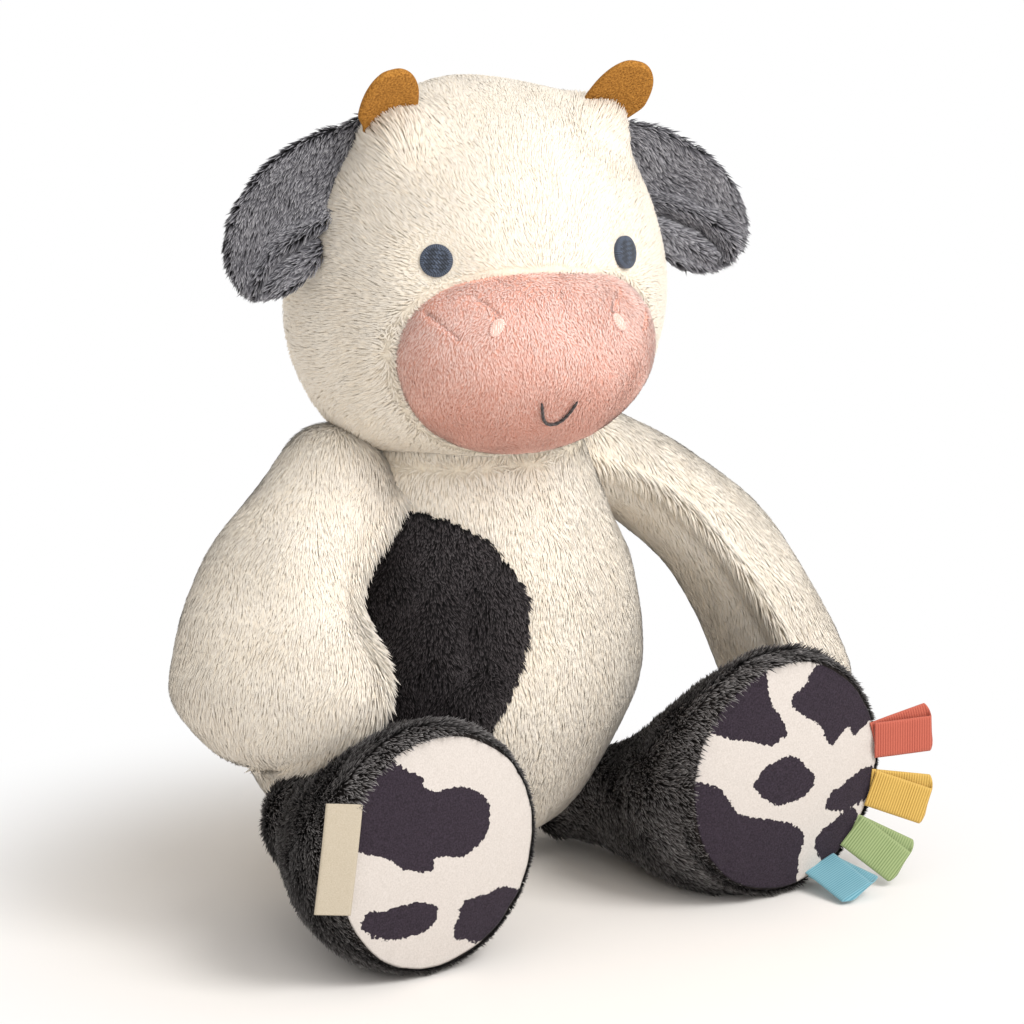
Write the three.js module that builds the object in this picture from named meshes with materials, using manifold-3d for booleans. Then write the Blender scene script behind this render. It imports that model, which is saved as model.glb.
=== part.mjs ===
// Seated plush cow: fur skins over loose stuffing, an oval muzzle, felt horns, floppy padded ears,
// a sewn-in tummy patch, printed soles, four ribbon loops and a blank side label.
// Millimetres, +Z up, front towards -Y. The origin is the middle of the flat seat, on the floor.
// Right and left are the cow's own: its right side is at -X.
import * as THREE from "three";
import { mergeVertices } from "three/addons/utils/BufferGeometryUtils.js";
import Module from "manifold-3d";

const wasm = await Module();
wasm.setup();

// Clearances and layers
const FIT = 0.3; // between sewn neighbours
const FUR = 2.6; // a fur skin: its cloth and its pile
const PACKING = 0.5; // between a skin and the stuffing in it
const EAR_GAP = 0.5; // between an ear's two panels
const FLOOR_GAP = 0.3; // under each foot

// Body: a pear that leans a little forward, flat where it sits
const BODY = {
  height: 187,
  seatRadius: 30,
  hipHalfWidth: 86,
  hipHeight: 84,
  shoulderHalfWidth: 66,
  shoulderHeight: 150,
  neckHalfWidth: 50,
  depthShare: 0.93,
  lean: 9, // degrees forward from upright
};
const BEAN_BAG_HEIGHT = 30;
const PATCH = { facing: -38, soften: 0.5 };
// The sewn-in patch, seen square on: steps to the viewer's right of the body's middle, and heights
const PATCH_OUTLINE = [
  [-14, 166],
  [14, 162],
  [33, 149],
  [43, 131],
  [42, 108],
  [31, 82],
  [12, 60],
  [-18, 62],
  [-38, 88],
  [-43, 124],
  [-34, 154],
];

// Head: an egg that is cut flat where it meets the neck
const HEAD = {
  halfWidth: 77,
  halfDepth: 70,
  halfHeight: 75.5,
  taper: 0.1, // narrower at the top, wider at the cheeks
  fullness: 0.82,
  sunk: 8.5, // how far the egg reaches below the neck seam
  forward: 10,
  turn: -16.5,
  tilt: 3.4,
};
const MUZZLE = {
  halfWidth: 55,
  halfDepth: 39,
  halfHeight: 38,
  taper: 0,
  fullness: 0.85,
  forward: 51,
  below: 25,
};
const EYE = { width: 13.5, height: 13.5, thickness: 1.2, side: 40.5, above: 16.5 };
const NOSTRIL = { width: 4.5, height: 9, thickness: 0.8, side: 26.5, above: 20, slant: 20 };
const MOUTH = { width: 15, height: 9, thread: 1.3, below: 9 };
const HORN = { width: 24, height: 30, thickness: 4, root: 5, side: 46, forward: 16, lean: 12, pitch: 24 };
const EAR = {
  root: [56, 0, 49], // from the head's middle: sideways, forward, up
  bend: [94, 4, 41],
  tip: [100, 14, -3],
  width: 40,
  rootWidth: 20,
  panel: 3,
  cup: 6,
};

// Limbs: root and end are the middles of the end rounds
const ARM = {
  rootHalf: 25,
  handBroad: 41,
  handThin: 25,
  handCap: 34,
  right: { root: [-62, -32, 168], bend: [-99, -44, 148], end: [-115, -54, 107], twist: 25 },
  left: { root: [62, -32, 168], bend: [124, -32, 146], end: [150, -52, 62], twist: 25 },
};
const SOLE = { halfWidth: 44.5, halfHeight: 44, thickness: 2.4, crown: 4, inset: 1 };
const LEG = {
  rimBulge: 3.5, // how far the fur swells past the sole's seam
  rimLength: 10,
  flare: 1.2,
  right: { hip: [-77, -42, 33], hipHalf: 23, sole: [-86.5, -126], toeOut: 0 },
  left: { hip: [59, -27, 24], hipHalf: 21, sole: [82, -134], toeOut: 0 },
};

// Ribbon loops round the left sole, by their place on its rim (0 is outwards, -90 is down)
const RIBBON = { width: 15, length: 24, thickness: 0.9, loop: 1.6 };
const RIBBONS = [
  { name: "ribbon_coral", angle: 8, lean: 18, colour: 0xd7725f },
  { name: "ribbon_mustard", angle: -17, lean: 28, colour: 0xdab25d },
  { name: "ribbon_green", angle: -41, lean: 42, colour: 0xa4b088 },
  { name: "ribbon_teal", angle: -66, lean: 76, colour: 0x85b1be },
];
const LABEL = { width: 44, length: 15, thickness: 1, angle: 172, lean: -36 };

// Joint ranges that the cut surfaces leave room for, in degrees
const HEAD_TURN = [-20, 40];
const ARM_SWING = [0, 50];
const LEG_SWING = [-60, 10];
const EAR_SWING = [-20, 35];
const SWING_STEP = 10;

// Facets: rings along each form and points round it
const HEAD_GRID = { rings: 15, points: 24 };
const BODY_GRID = { rings: 12, points: 24 };
const MUZZLE_GRID = { rings: 10, points: 18 };
const LIMB_GRID = { capRings: 3, rings: 7, points: 14 };
const EAR_GRID = { rows: 7, columns: 6 };
const SOLE_GRID = { rings: 3, points: 24 };
const PATCH_POINTS = 30;
const POLE_GAP = 0.12; // radians between an egg's last ring and its pole
const CAP_GAP = 0.12; // of a ring's step, between a limb's last ring and its end
const TIP_SHARE = 0.12; // of its half width, what an ear keeps at its very tip
const EAR_ROUND = 0.6; // of its length, where an ear starts to round off

const vec = (x, y, z) => new THREE.Vector3(x, y, z);
const rad = THREE.MathUtils.degToRad;
const lerp = THREE.MathUtils.lerp;

// A closed mesh from rings of points, each ring running round the same way, with a fan at each end.
function geometryFromRings(rings) {
  const count = rings[0].length;
  const positions = rings.flat().flatMap((p) => [p.x, p.y, p.z]);
  const index = [];
  for (let i = 0; i + 1 < rings.length; i += 1) {
    for (let j = 0; j < count; j += 1) {
      const next = (j + 1) % count;
      const [a, b] = [i * count + j, i * count + next];
      const [c, d] = [a + count, b + count];
      index.push(a, b, d, a, d, c);
    }
  }
  [0, rings.length - 1].forEach((row) => {
    const middle = rings[row].reduce((sum, p) => sum.add(p), vec(0, 0, 0)).divideScalar(count);
    positions.push(middle.x, middle.y, middle.z);
    const hub = positions.length / 3 - 1;
    for (let j = 0; j < count; j += 1) {
      const [a, b] = [row * count + j, row * count + ((j + 1) % count)];
      if (row === 0) index.push(hub, b, a);
      else index.push(hub, a, b);
    }
  });
  const geometry = new THREE.BufferGeometry();
  geometry.setAttribute("position", new THREE.Float32BufferAttribute(positions, 3));
  geometry.setIndex(index);
  return geometry;
}

// A geometry as a solid that can be cut; one that faces inwards is turned round.
function solid(geometry, matrix) {
  const g = geometry.index ? geometry.toNonIndexed() : geometry.clone();
  g.deleteAttribute("normal");
  g.deleteAttribute("uv");
  if (matrix) g.applyMatrix4(matrix);
  const merged = mergeVertices(g, 1e-3);
  const vertProperties = merged.attributes.position.array;
  const triVerts = new Uint32Array(merged.index.array);
  const made = new wasm.Manifold(new wasm.Mesh({ numProp: 3, vertProperties, triVerts }));
  if (made.volume() > 0) return made;
  for (let i = 0; i < triVerts.length; i += 3) {
    [triVerts[i + 1], triVerts[i + 2]] = [triVerts[i + 2], triVerts[i + 1]];
  }
  return new wasm.Manifold(new wasm.Mesh({ numProp: 3, vertProperties, triVerts }));
}

function geometryOf(made) {
  const mesh = made.getMesh();
  const geometry = new THREE.BufferGeometry();
  geometry.setAttribute("position", new THREE.BufferAttribute(mesh.vertProperties, 3));
  geometry.setIndex(new THREE.BufferAttribute(mesh.triVerts, 1));
  return geometry;
}

const moved = (made, matrix) => solid(geometryOf(made), matrix);

// The largest piece of a cut, without the slivers that the facets leave.
function mainPiece(made) {
  return made.decompose().sort((a, b) => b.volume() - a.volume())[0];
}

const group = new THREE.Group();

function addPiece(name, made, colour, roughness = 0.95) {
  const material = new THREE.MeshStandardMaterial({ color: colour, roughness, metalness: 0 });
  const mesh = new THREE.Mesh(geometryOf(mainPiece(made)), material);
  mesh.name = name;
  group.add(mesh);
}

const CREAM = 0xefe8de;
const CHARCOAL = 0x37302e;
const STUFFING = 0xf7f6f2;

// Egg of half sizes a, b and c: at the height c cos p its ring is (1 - taper cos p) sin(p)^fullness wide.
function eggPoint(form, p, around, grow = 0) {
  const wide = (1 - form.taper * Math.cos(p)) * Math.sin(p) ** form.fullness;
  return vec(
    (form.halfWidth + grow) * wide * Math.cos(around),
    (form.halfDepth + grow) * wide * Math.sin(around),
    (form.halfHeight + grow) * Math.cos(p),
  );
}

function egg(form, grid, matrix, grow = 0) {
  const rings = [];
  for (let i = 0; i < grid.rings; i += 1) {
    const p = Math.PI - lerp(POLE_GAP, Math.PI - POLE_GAP, i / (grid.rings - 1));
    const ring = [];
    for (let j = 0; j < grid.points; j += 1) {
      ring.push(eggPoint(form, p, (2 * Math.PI * j) / grid.points, grow));
    }
    rings.push(ring);
  }
  return solid(geometryFromRings(rings), matrix);
}

// The point of an egg that lies over (x, z) of its front, with the outward normal there.
function onFront(form, x, z, grow = 0) {
  const at = (px, pz) => {
    const p = Math.acos(THREE.MathUtils.clamp(pz / (form.halfHeight + grow), -1, 1));
    const wide = (1 - form.taper * Math.cos(p)) * Math.sin(p) ** form.fullness;
    const share = THREE.MathUtils.clamp(px / ((form.halfWidth + grow) * wide), -1, 1);
    return vec(px, -(form.halfDepth + grow) * wide * Math.sqrt(1 - share * share), pz);
  };
  const step = 0.5;
  const across = at(x + step, z).sub(at(x - step, z));
  const upwards = at(x, z + step).sub(at(x, z - step));
  return { point: at(x, z), normal: across.cross(upwards).normalize() };
}

// A frame whose Z is the normal and whose Y is as near as can be to the given direction.
function frameOn(point, normal, upwards) {
  const z = normal.clone().normalize();
  const y = upwards.clone().addScaledVector(z, -upwards.dot(z)).normalize();
  const x = y.clone().cross(z);
  return new THREE.Matrix4().makeBasis(x, y, z).setPosition(point);
}

// Body
const leanShift = Math.tan(rad(BODY.lean));
const neckY = -BODY.height * leanShift;

const bodyProfile = new THREE.SplineCurve([
  new THREE.Vector2(BODY.seatRadius, 0),
  new THREE.Vector2(lerp(BODY.seatRadius, BODY.hipHalfWidth, 0.32), BODY.hipHeight * 0.15),
  new THREE.Vector2(lerp(BODY.seatRadius, BODY.hipHalfWidth, 0.65), BODY.hipHeight * 0.36),
  new THREE.Vector2(lerp(BODY.seatRadius, BODY.hipHalfWidth, 0.9), BODY.hipHeight * 0.66),
  new THREE.Vector2(BODY.hipHalfWidth, BODY.hipHeight),
  new THREE.Vector2(
    lerp(BODY.hipHalfWidth, BODY.shoulderHalfWidth, 0.42),
    lerp(BODY.hipHeight, BODY.shoulderHeight, 0.6),
  ),
  new THREE.Vector2(BODY.shoulderHalfWidth, BODY.shoulderHeight),
  new THREE.Vector2(BODY.neckHalfWidth, BODY.height),
]);

// The body's rings: ellipses that lean forward with their height. The top can be carried on upwards.
function bodyForm(grow, floor, top) {
  const rings = [];
  const ringAt = (half, z) => {
    const ring = [];
    for (let j = 0; j < BODY_GRID.points; j += 1) {
      const around = (2 * Math.PI * j) / BODY_GRID.points;
      const y = (half * BODY.depthShare + grow) * Math.sin(around) - z * leanShift;
      ring.push(vec((half + grow) * Math.cos(around), y, z));
    }
    return ring;
  };
  for (let i = 0; i < BODY_GRID.rings; i += 1) {
    const at = bodyProfile.getPoint(i / (BODY_GRID.rings - 1));
    rings.push(ringAt(at.x, Math.max(at.y, floor)));
  }
  const kept = rings.filter((ring, i) => i === 0 || ring[0].z > rings[i - 1][0].z);
  if (top > BODY.height) kept.push(ringAt(BODY.neckHalfWidth, top));
  return solid(geometryFromRings(kept));
}

const above = (made, z) => made.trimByPlane([0, 0, 1], z);
const below = (made, z) => made.trimByPlane([0, 0, -1], -z);

const bodyOuter = below(bodyForm(0, 0, BODY.height), BODY.height - FIT / 2);
const bodyGrown = bodyForm(FIT, -FIT, BODY.height + FIT);
const bodyHollow = bodyForm(-FUR, FUR, BODY.height + FUR);
const bodyInside = bodyForm(-FUR - PACKING, FUR + PACKING, BODY.height - FIT / 2);

function patchPrism(shrink) {
  const points = PATCH_OUTLINE.map(([across, z]) => vec(across, z, 0));
  const curve = new THREE.CatmullRomCurve3(points, true, "catmullrom", PATCH.soften);
  const middle = points.reduce((sum, p) => sum.add(p), vec(0, 0, 0)).divideScalar(points.length);
  const outline = curve.getPoints(PATCH_POINTS).slice(0, -1).map((p) => {
    const outwards = p.clone().sub(middle).normalize();
    return new THREE.Vector2(p.x - outwards.x * shrink, p.y - outwards.y * shrink);
  });
  const depth = 2 * BODY.hipHalfWidth;
  const geometry = new THREE.ExtrudeGeometry(new THREE.Shape(outline), { depth, bevelEnabled: false });
  const facing = vec(Math.sin(rad(PATCH.facing)), -Math.cos(rad(PATCH.facing)), 0);
  const across = vec(Math.cos(rad(PATCH.facing)), Math.sin(rad(PATCH.facing)), 0);
  return solid(geometry, new THREE.Matrix4().makeBasis(across, vec(0, 0, 1), facing));
}

const bodyShell = bodyOuter.subtract(bodyHollow);
addPiece("body_skin", bodyShell.subtract(patchPrism(0)), CREAM);
addPiece("tummy_patch", bodyShell.intersect(patchPrism(FIT)), CHARCOAL);
addPiece("body_stuffing", above(bodyInside, BEAN_BAG_HEIGHT + PACKING), STUFFING);
addPiece("seat_bean_bag", below(bodyInside, BEAN_BAG_HEIGHT), 0xd9d2c4);

// Head
const headCentre = vec(0, neckY - HEAD.forward, BODY.height + HEAD.halfHeight - HEAD.sunk);
const headFrame = new THREE.Matrix4()
  .makeTranslation(headCentre)
  .multiply(new THREE.Matrix4().makeRotationZ(rad(HEAD.turn)))
  .multiply(new THREE.Matrix4().makeRotationY(rad(HEAD.tilt)));
const headForm = (grow) => egg(HEAD, HEAD_GRID, headFrame, grow);
const headOuter = headForm(0);
const headGrown = headForm(FIT);
const seam = BODY.height + FIT / 2;
addPiece("head_skin", above(headOuter.subtract(headForm(-FUR)), seam), CREAM);
addPiece("head_stuffing", above(headForm(-FUR - PACKING), seam), STUFFING);

// Muzzle: an oval cushion that the head's own form cuts at the back
const muzzleFrame = headFrame.clone().multiply(
  new THREE.Matrix4().makeTranslation(0, -MUZZLE.forward, -MUZZLE.below),
);
const muzzleForm = (grow) => egg(MUZZLE, MUZZLE_GRID, muzzleFrame, grow);
const muzzleShell = muzzleForm(0).subtract(muzzleForm(-FUR));
addPiece("muzzle_skin", muzzleShell.subtract(headGrown), 0xe8b2a0);
addPiece("muzzle_stuffing", muzzleForm(-FUR - PACKING).subtract(headGrown), STUFFING);

// A thin oval on a form's front, as thick as asked and clear of the form by the fit. It is the part of
// the layer over the form that lies in a straight prism, which reaches as far in and out as it is high.
function ovalOn(form, formSolid, frame, x, z, size, slant = 0) {
  const { point, normal } = onFront(form, x, z);
  const shape = new THREE.Shape();
  shape.absellipse(0, 0, size.width / 2, size.height / 2, 0, 2 * Math.PI, false, 0);
  const reach = size.height;
  const prism = new THREE.ExtrudeGeometry(shape, {
    depth: 2 * reach,
    bevelEnabled: false,
    curveSegments: 10,
  });
  prism.translate(0, 0, -reach);
  prism.rotateZ(rad(slant));
  const place = frame.clone().multiply(frameOn(point, normal, vec(0, 0, 1)));
  const layer = formSolid(FIT + size.thickness).subtract(formSolid(FIT));
  return layer.intersect(solid(prism, place));
}

for (const [side, sign] of [["right", -1], ["left", 1]]) {
  const eye = ovalOn(HEAD, headForm, headFrame, sign * EYE.side, EYE.above, EYE);
  addPiece("eye_" + side, eye, 0x4a5260, 0.6);
  const [across, up, slant] = [sign * NOSTRIL.side, NOSTRIL.above, sign * NOSTRIL.slant];
  const nostril = ovalOn(MUZZLE, muzzleForm, muzzleFrame, across, up, NOSTRIL, slant);
  addPiece("nostril_" + side, nostril, 0xf2d3c8);
}

// Mouth: one thread laid in a U on the muzzle
{
  const points = [];
  const steps = 8;
  for (let i = 0; i <= steps; i += 1) {
    const share = lerp(-1, 1, i / steps);
    const x = (MOUTH.width / 2) * share;
    const z = -MOUTH.below - MOUTH.height * (1 - share * share);
    const { point, normal } = onFront(MUZZLE, x, z);
    points.push(point.addScaledVector(normal, FIT + MOUTH.thread / 2).applyMatrix4(muzzleFrame));
  }
  const section = new THREE.Shape();
  section.absarc(0, 0, MOUTH.thread / 2, 0, 2 * Math.PI, false);
  const extrudePath = new THREE.CatmullRomCurve3(points);
  const thread = new THREE.ExtrudeGeometry(section, { steps: 14, curveSegments: 6, extrudePath });
  addPiece("mouth_stitch", solid(thread), 0x4a3f3c, 0.7);
}

// Horn: a flat felt tongue that stands on the head's form
function hornSeat() {
  let z = HEAD.halfHeight;
  const reach = Math.hypot(HORN.side, HORN.forward);
  while (eggPoint(HEAD, Math.acos(z / HEAD.halfHeight), 0).x < reach) z -= 0.25;
  return z;
}

for (const [side, sign] of [["right", -1], ["left", 1]]) {
  const half = HORN.width / 2;
  const outline = new THREE.Shape();
  outline.moveTo(-half, -HORN.root);
  outline.lineTo(half, -HORN.root);
  outline.lineTo(half, HORN.height - half);
  outline.absarc(0, HORN.height - half, half, 0, Math.PI, false);
  const plate = new THREE.ExtrudeGeometry(outline, {
    depth: HORN.thickness,
    bevelEnabled: false,
    curveSegments: 10,
  });
  plate.translate(0, 0, -HORN.thickness / 2);
  const place = headFrame
    .clone()
    .multiply(new THREE.Matrix4().makeTranslation(sign * HORN.side, -HORN.forward, hornSeat()))
    .multiply(new THREE.Matrix4().makeRotationY(rad(sign * HORN.lean)))
    .multiply(new THREE.Matrix4().makeRotationX(rad(90 + HORN.pitch)));
  addPiece("horn_" + side, solid(plate, place).subtract(headGrown), 0xb48140);
}

// Ear: two leaf panels that droop from the head's side and cup forwards
function earLeaf(sign, from, to) {
  const [root, bend, tip] = [EAR.root, EAR.bend, EAR.tip].map(([x, y, z]) => vec(sign * x, -y, z));
  const line = new THREE.QuadraticBezierCurve3(root, bend, tip);
  const facing = vec(0, -1, 0);
  const pointAt = (t, s, offset) => {
    const along = line.getTangent(t);
    const across = along.clone().cross(facing).normalize();
    const front = across.clone().cross(along).normalize();
    const swell = Math.sin((Math.PI / 2) * Math.min(1, t / EAR_ROUND));
    const past = Math.max(0, t - EAR_ROUND) / (1 - EAR_ROUND);
    const half = (lerp(EAR.rootWidth, EAR.width, swell) / 2) * Math.max(Math.sqrt(1 - past * past), TIP_SHARE);
    return line
      .getPoint(t)
      .addScaledVector(across, half * s)
      .addScaledVector(front, EAR.cup * (s * s - 0.5) * swell * ((2 * half) / EAR.width) + offset);
  };
  const rings = [];
  const shares = [];
  for (let j = 0; j <= EAR_GRID.columns; j += 1) shares.push(lerp(-1, 1, j / EAR_GRID.columns));
  for (let i = 0; i <= EAR_GRID.rows; i += 1) {
    const t = Math.sin((0.5 * Math.PI * i) / EAR_GRID.rows);
    rings.push([
      ...shares.map((share) => pointAt(t, share, from)),
      ...[...shares].reverse().map((share) => pointAt(t, share, to)),
    ]);
  }
  return solid(geometryFromRings(rings), headFrame);
}

const cutBy = (made, cutters) => cutters.reduce((rest, cutter) => rest.subtract(cutter), made);

// A form in every place that it takes as seen from a piece that swings about an axis through its root.
function sweptForm(form, root, axis, [low, high]) {
  const turnAt = (degrees) =>
    new THREE.Matrix4()
      .makeTranslation(root)
      .multiply(new THREE.Matrix4().makeRotationAxis(axis, rad(-degrees)))
      .multiply(new THREE.Matrix4().makeTranslation(root.clone().negate()));
  const places = [];
  for (let angle = low; angle < high; angle += SWING_STEP) places.push(turnAt(angle));
  places.push(turnAt(high));
  return places.map((place) => moved(form, place));
}

// An ear swings like a door about its upright seam, and forwards is positive.
for (const [side, sign] of [["right", -1], ["left", 1]]) {
  const [across, forward, up] = EAR.root;
  const root = vec(sign * across, -forward, up).applyMatrix4(headFrame);
  const axis = vec(0, 0, -sign).transformDirection(headFrame);
  const cutters = sweptForm(headGrown, root, axis, EAR_SWING);
  const front = earLeaf(sign, EAR_GAP / 2, EAR_GAP / 2 + EAR.panel);
  const back = earLeaf(sign, -EAR_GAP / 2 - EAR.panel, -EAR_GAP / 2);
  addPiece("ear_front_" + side, cutBy(front, cutters), 0x666568);
  addPiece("ear_back_" + side, cutBy(back, cutters), 0x5a585b);
}

// A limb's rings. Each station has a middle, a frame (along, side, over) and two half sizes.
function limbForm(stations, grow) {
  const rings = stations.map(({ middle, side, over, broad, thin, scale = 1 }) => {
    const ring = [];
    for (let j = 0; j < LIMB_GRID.points; j += 1) {
      const around = (2 * Math.PI * j) / LIMB_GRID.points;
      const p = middle(grow).clone();
      p.addScaledVector(side, (broad + grow) * scale * Math.cos(around));
      p.addScaledVector(over, (thin + grow) * scale * Math.sin(around));
      ring.push(p);
    }
    return ring;
  });
  return solid(geometryFromRings(rings));
}

// Rounds off a limb's end: rings that shrink to a pole, `reach` beyond the last middle.
function capStations(base, along, reach, outwards) {
  const stations = [];
  for (let k = 1; k <= LIMB_GRID.capRings; k += 1) {
    const angle = (0.5 * Math.PI * (k - CAP_GAP)) / LIMB_GRID.capRings;
    const scale = Math.cos(angle);
    const middle = (grow) =>
      base.middle(grow).clone().addScaledVector(along, outwards * (reach + grow) * Math.sin(angle));
    stations.push({ ...base, middle, scale });
  }
  return outwards < 0 ? stations.reverse() : stations;
}

const smooth = (t) => t * t * (3 - 2 * t);

function armStations(arm, sign) {
  const path = new THREE.QuadraticBezierCurve3(...[arm.root, arm.bend, arm.end].map((p) => vec(...p)));
  const broadWay = vec(-sign * Math.sin(rad(arm.twist)), -Math.cos(rad(arm.twist)), 0);
  const stationAt = (t) => {
    const along = path.getTangent(t);
    const side = broadWay.clone().addScaledVector(along, -broadWay.dot(along)).normalize();
    const over = along.clone().cross(side);
    const point = path.getPoint(t);
    return {
      middle: () => point,
      along,
      side,
      over,
      broad: lerp(ARM.rootHalf, ARM.handBroad, smooth(t)),
      thin: lerp(ARM.rootHalf, ARM.handThin, t),
    };
  };
  const stations = [];
  for (let i = 0; i < LIMB_GRID.rings; i += 1) stations.push(stationAt(i / (LIMB_GRID.rings - 1)));
  const first = stations[0];
  const last = stations[stations.length - 1];
  return [
    ...capStations(first, first.along, ARM.rootHalf, -1),
    ...stations,
    ...capStations(last, last.along, ARM.handCap, 1),
  ];
}

// The sole's place: its frame has X across the foot, Y up it and Z out of it, forwards.
const rim = { broad: SOLE.halfWidth + FIT + FUR, tall: SOLE.halfHeight + FIT + FUR };
const footTall = rim.tall + LEG.rimBulge;

function soleFrame(leg, sign) {
  const out = rad(leg.toeOut * sign);
  const normal = vec(Math.sin(out), -Math.cos(out), 0);
  const across = vec(Math.cos(out), Math.sin(out), 0);
  const middle = vec(...leg.sole, footTall + FLOOR_GAP);
  return new THREE.Matrix4().makeBasis(across, vec(0, 0, 1), normal).setPosition(middle);
}

// A leg flares from a round hip to its rim; its rings all face the way of the sole.
// `onwards` carries the last ring past the sole, so that the hollow inside is open there.
function legStations(leg, frame, onwards = 0) {
  const [side, over, along] = [vec(), vec(), vec()];
  frame.extractBasis(side, over, along);
  const sole = vec().setFromMatrixPosition(frame);
  const hip = vec(...leg.hip);
  const rimStart = sole.clone().addScaledVector(along, -LEG.rimLength);
  const stationAt = (t) => {
    const point = hip.clone().lerp(rimStart, t);
    const flare = t ** LEG.flare;
    return {
      middle: () => point,
      side,
      over,
      broad: lerp(leg.hipHalf, rim.broad + LEG.rimBulge, flare),
      thin: lerp(leg.hipHalf, footTall, flare),
    };
  };
  const stations = [];
  for (let i = 0; i < LIMB_GRID.rings; i += 1) stations.push(stationAt(i / (LIMB_GRID.rings - 1)));
  const end = sole.clone().addScaledVector(along, onwards);
  stations.push({ middle: () => end, side, over, broad: rim.broad, thin: rim.tall });
  return [...capStations(stations[0], along, leg.hipHalf, -1), ...stations];
}

// A limb swings up and down about the crossways axis through its root, and forwards is positive.
const limbAxis = vec(-1, 0, 0);

const soleFrames = {};
for (const [side, sign] of [["right", -1], ["left", 1]]) {
  const leg = LEG[side];
  const frame = soleFrame(leg, sign);
  soleFrames[side] = frame;
  const cutters = sweptForm(bodyGrown, vec(...leg.hip), limbAxis, LEG_SWING);
  const outer = limbForm(legStations(leg, frame), 0);
  const hollow = limbForm(legStations(leg, frame, FUR), -FUR);
  addPiece("leg_skin_" + side, cutBy(outer.subtract(hollow), cutters), CHARCOAL);

  const inside = limbForm(legStations(leg, frame, -SOLE.inset - SOLE.thickness - FIT), -FUR - PACKING);
  addPiece("leg_stuffing_" + side, cutBy(inside, cutters), STUFFING);

  const soleRing = (share, depth) => {
    const ring = [];
    const crown = SOLE.crown * (1 - share * share);
    for (let j = 0; j < SOLE_GRID.points; j += 1) {
      const around = (2 * Math.PI * j) / SOLE_GRID.points;
      const x = SOLE.halfWidth * share * Math.cos(around);
      const y = SOLE.halfHeight * share * Math.sin(around);
      ring.push(vec(x, y, crown - SOLE.inset - depth));
    }
    return ring;
  };
  const shares = [];
  for (let i = 1; i <= SOLE_GRID.rings; i += 1) shares.push(i / SOLE_GRID.rings);
  const inner = shares.map((share) => soleRing(share, SOLE.thickness));
  const outerFace = shares.map((share) => soleRing(share, 0)).reverse();
  addPiece("sole_" + side, solid(geometryFromRings([...inner, ...outerFace]), frame), 0xefebea);
}

// The head turns over the arms' tops, which make room for it.
const headPlaces = sweptForm(headGrown, vec(0, neckY, BODY.height), vec(0, 0, -1), HEAD_TURN);

for (const [side, sign] of [["right", -1], ["left", 1]]) {
  const arm = ARM[side];
  const stations = armStations(arm, sign);
  const root = vec(...arm.root);
  const cutters = [bodyGrown, ...headPlaces].flatMap((form) => sweptForm(form, root, limbAxis, ARM_SWING));
  const shell = limbForm(stations, 0).subtract(limbForm(stations, -FUR));
  addPiece("arm_skin_" + side, cutBy(shell, cutters), CREAM);
  addPiece("arm_stuffing_" + side, cutBy(limbForm(stations, -FUR - PACKING), cutters), STUFFING);
}

// The place on a sole's seam at an angle: X along the seam, Y outwards, Z towards the front.
// What leans forwards stands on the cut edge of the fur, and what leans back passes outside it.
function seamFrame(frame, angle, lean, halfThickness) {
  const a = rad(angle);
  const [across, up, out] = [vec(), vec(), vec()];
  frame.extractBasis(across, up, out);
  const middle = vec().setFromMatrixPosition(frame);
  const radial = across.clone().multiplyScalar(Math.cos(a)).addScaledVector(up, Math.sin(a));
  const reach = 1 / Math.hypot(Math.cos(a) / rim.broad, Math.sin(a) / rim.tall);
  const y = radial.clone().multiplyScalar(Math.cos(rad(lean))).addScaledVector(out, Math.sin(rad(lean)));
  const x = radial.clone().cross(out).normalize();
  const z = x.clone().cross(y);
  const inwards = lean > 0 ? FUR / 2 + halfThickness * Math.sin(rad(lean)) : -FIT;
  const root = middle
    .addScaledVector(radial, reach - inwards)
    .addScaledVector(out, FIT + halfThickness * Math.cos(rad(lean)));
  return new THREE.Matrix4().makeBasis(x, y, z).setPosition(root);
}

// Ribbon: one strip folded into a flat loop, its fold outwards
for (const ribbon of RIBBONS) {
  const { width, length, thickness, loop } = RIBBON;
  const outside = loop / 2 + thickness;
  const outline = new THREE.Shape();
  outline.moveTo(0, -outside);
  outline.lineTo(length - outside, -outside);
  outline.absarc(length - outside, 0, outside, -Math.PI / 2, Math.PI / 2, false);
  outline.lineTo(0, outside);
  outline.lineTo(0, loop / 2);
  outline.lineTo(length - outside, loop / 2);
  outline.absarc(length - outside, 0, loop / 2, Math.PI / 2, -Math.PI / 2, true);
  outline.lineTo(0, -loop / 2);
  const strip = new THREE.ExtrudeGeometry(outline, { depth: width, bevelEnabled: false, curveSegments: 5 });
  strip.translate(0, 0, -width / 2);
  strip.applyMatrix4(new THREE.Matrix4().makeBasis(vec(0, 1, 0), vec(0, 0, 1), vec(1, 0, 0)));
  const place = seamFrame(soleFrames.left, ribbon.angle, ribbon.lean, outside);
  addPiece(ribbon.name, solid(strip, place), ribbon.colour, 0.7);
}

{
  const tag = new THREE.BoxGeometry(LABEL.width, LABEL.length, LABEL.thickness);
  tag.translate(0, LABEL.length / 2, 0);
  const place = seamFrame(soleFrames.right, LABEL.angle, LABEL.lean, LABEL.thickness / 2);
  addPiece("side_label", solid(tag, place), 0xecdfcc, 0.85);
}

export default group;
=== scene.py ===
"""A seated plush cow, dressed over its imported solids.

Lengths are millimetres until a mesh is made, in metres. Up is +Z and the cow faces -Y.
Right and left are the cow's own: its right side is at -X.
"""
import math
from functools import partial

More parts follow.
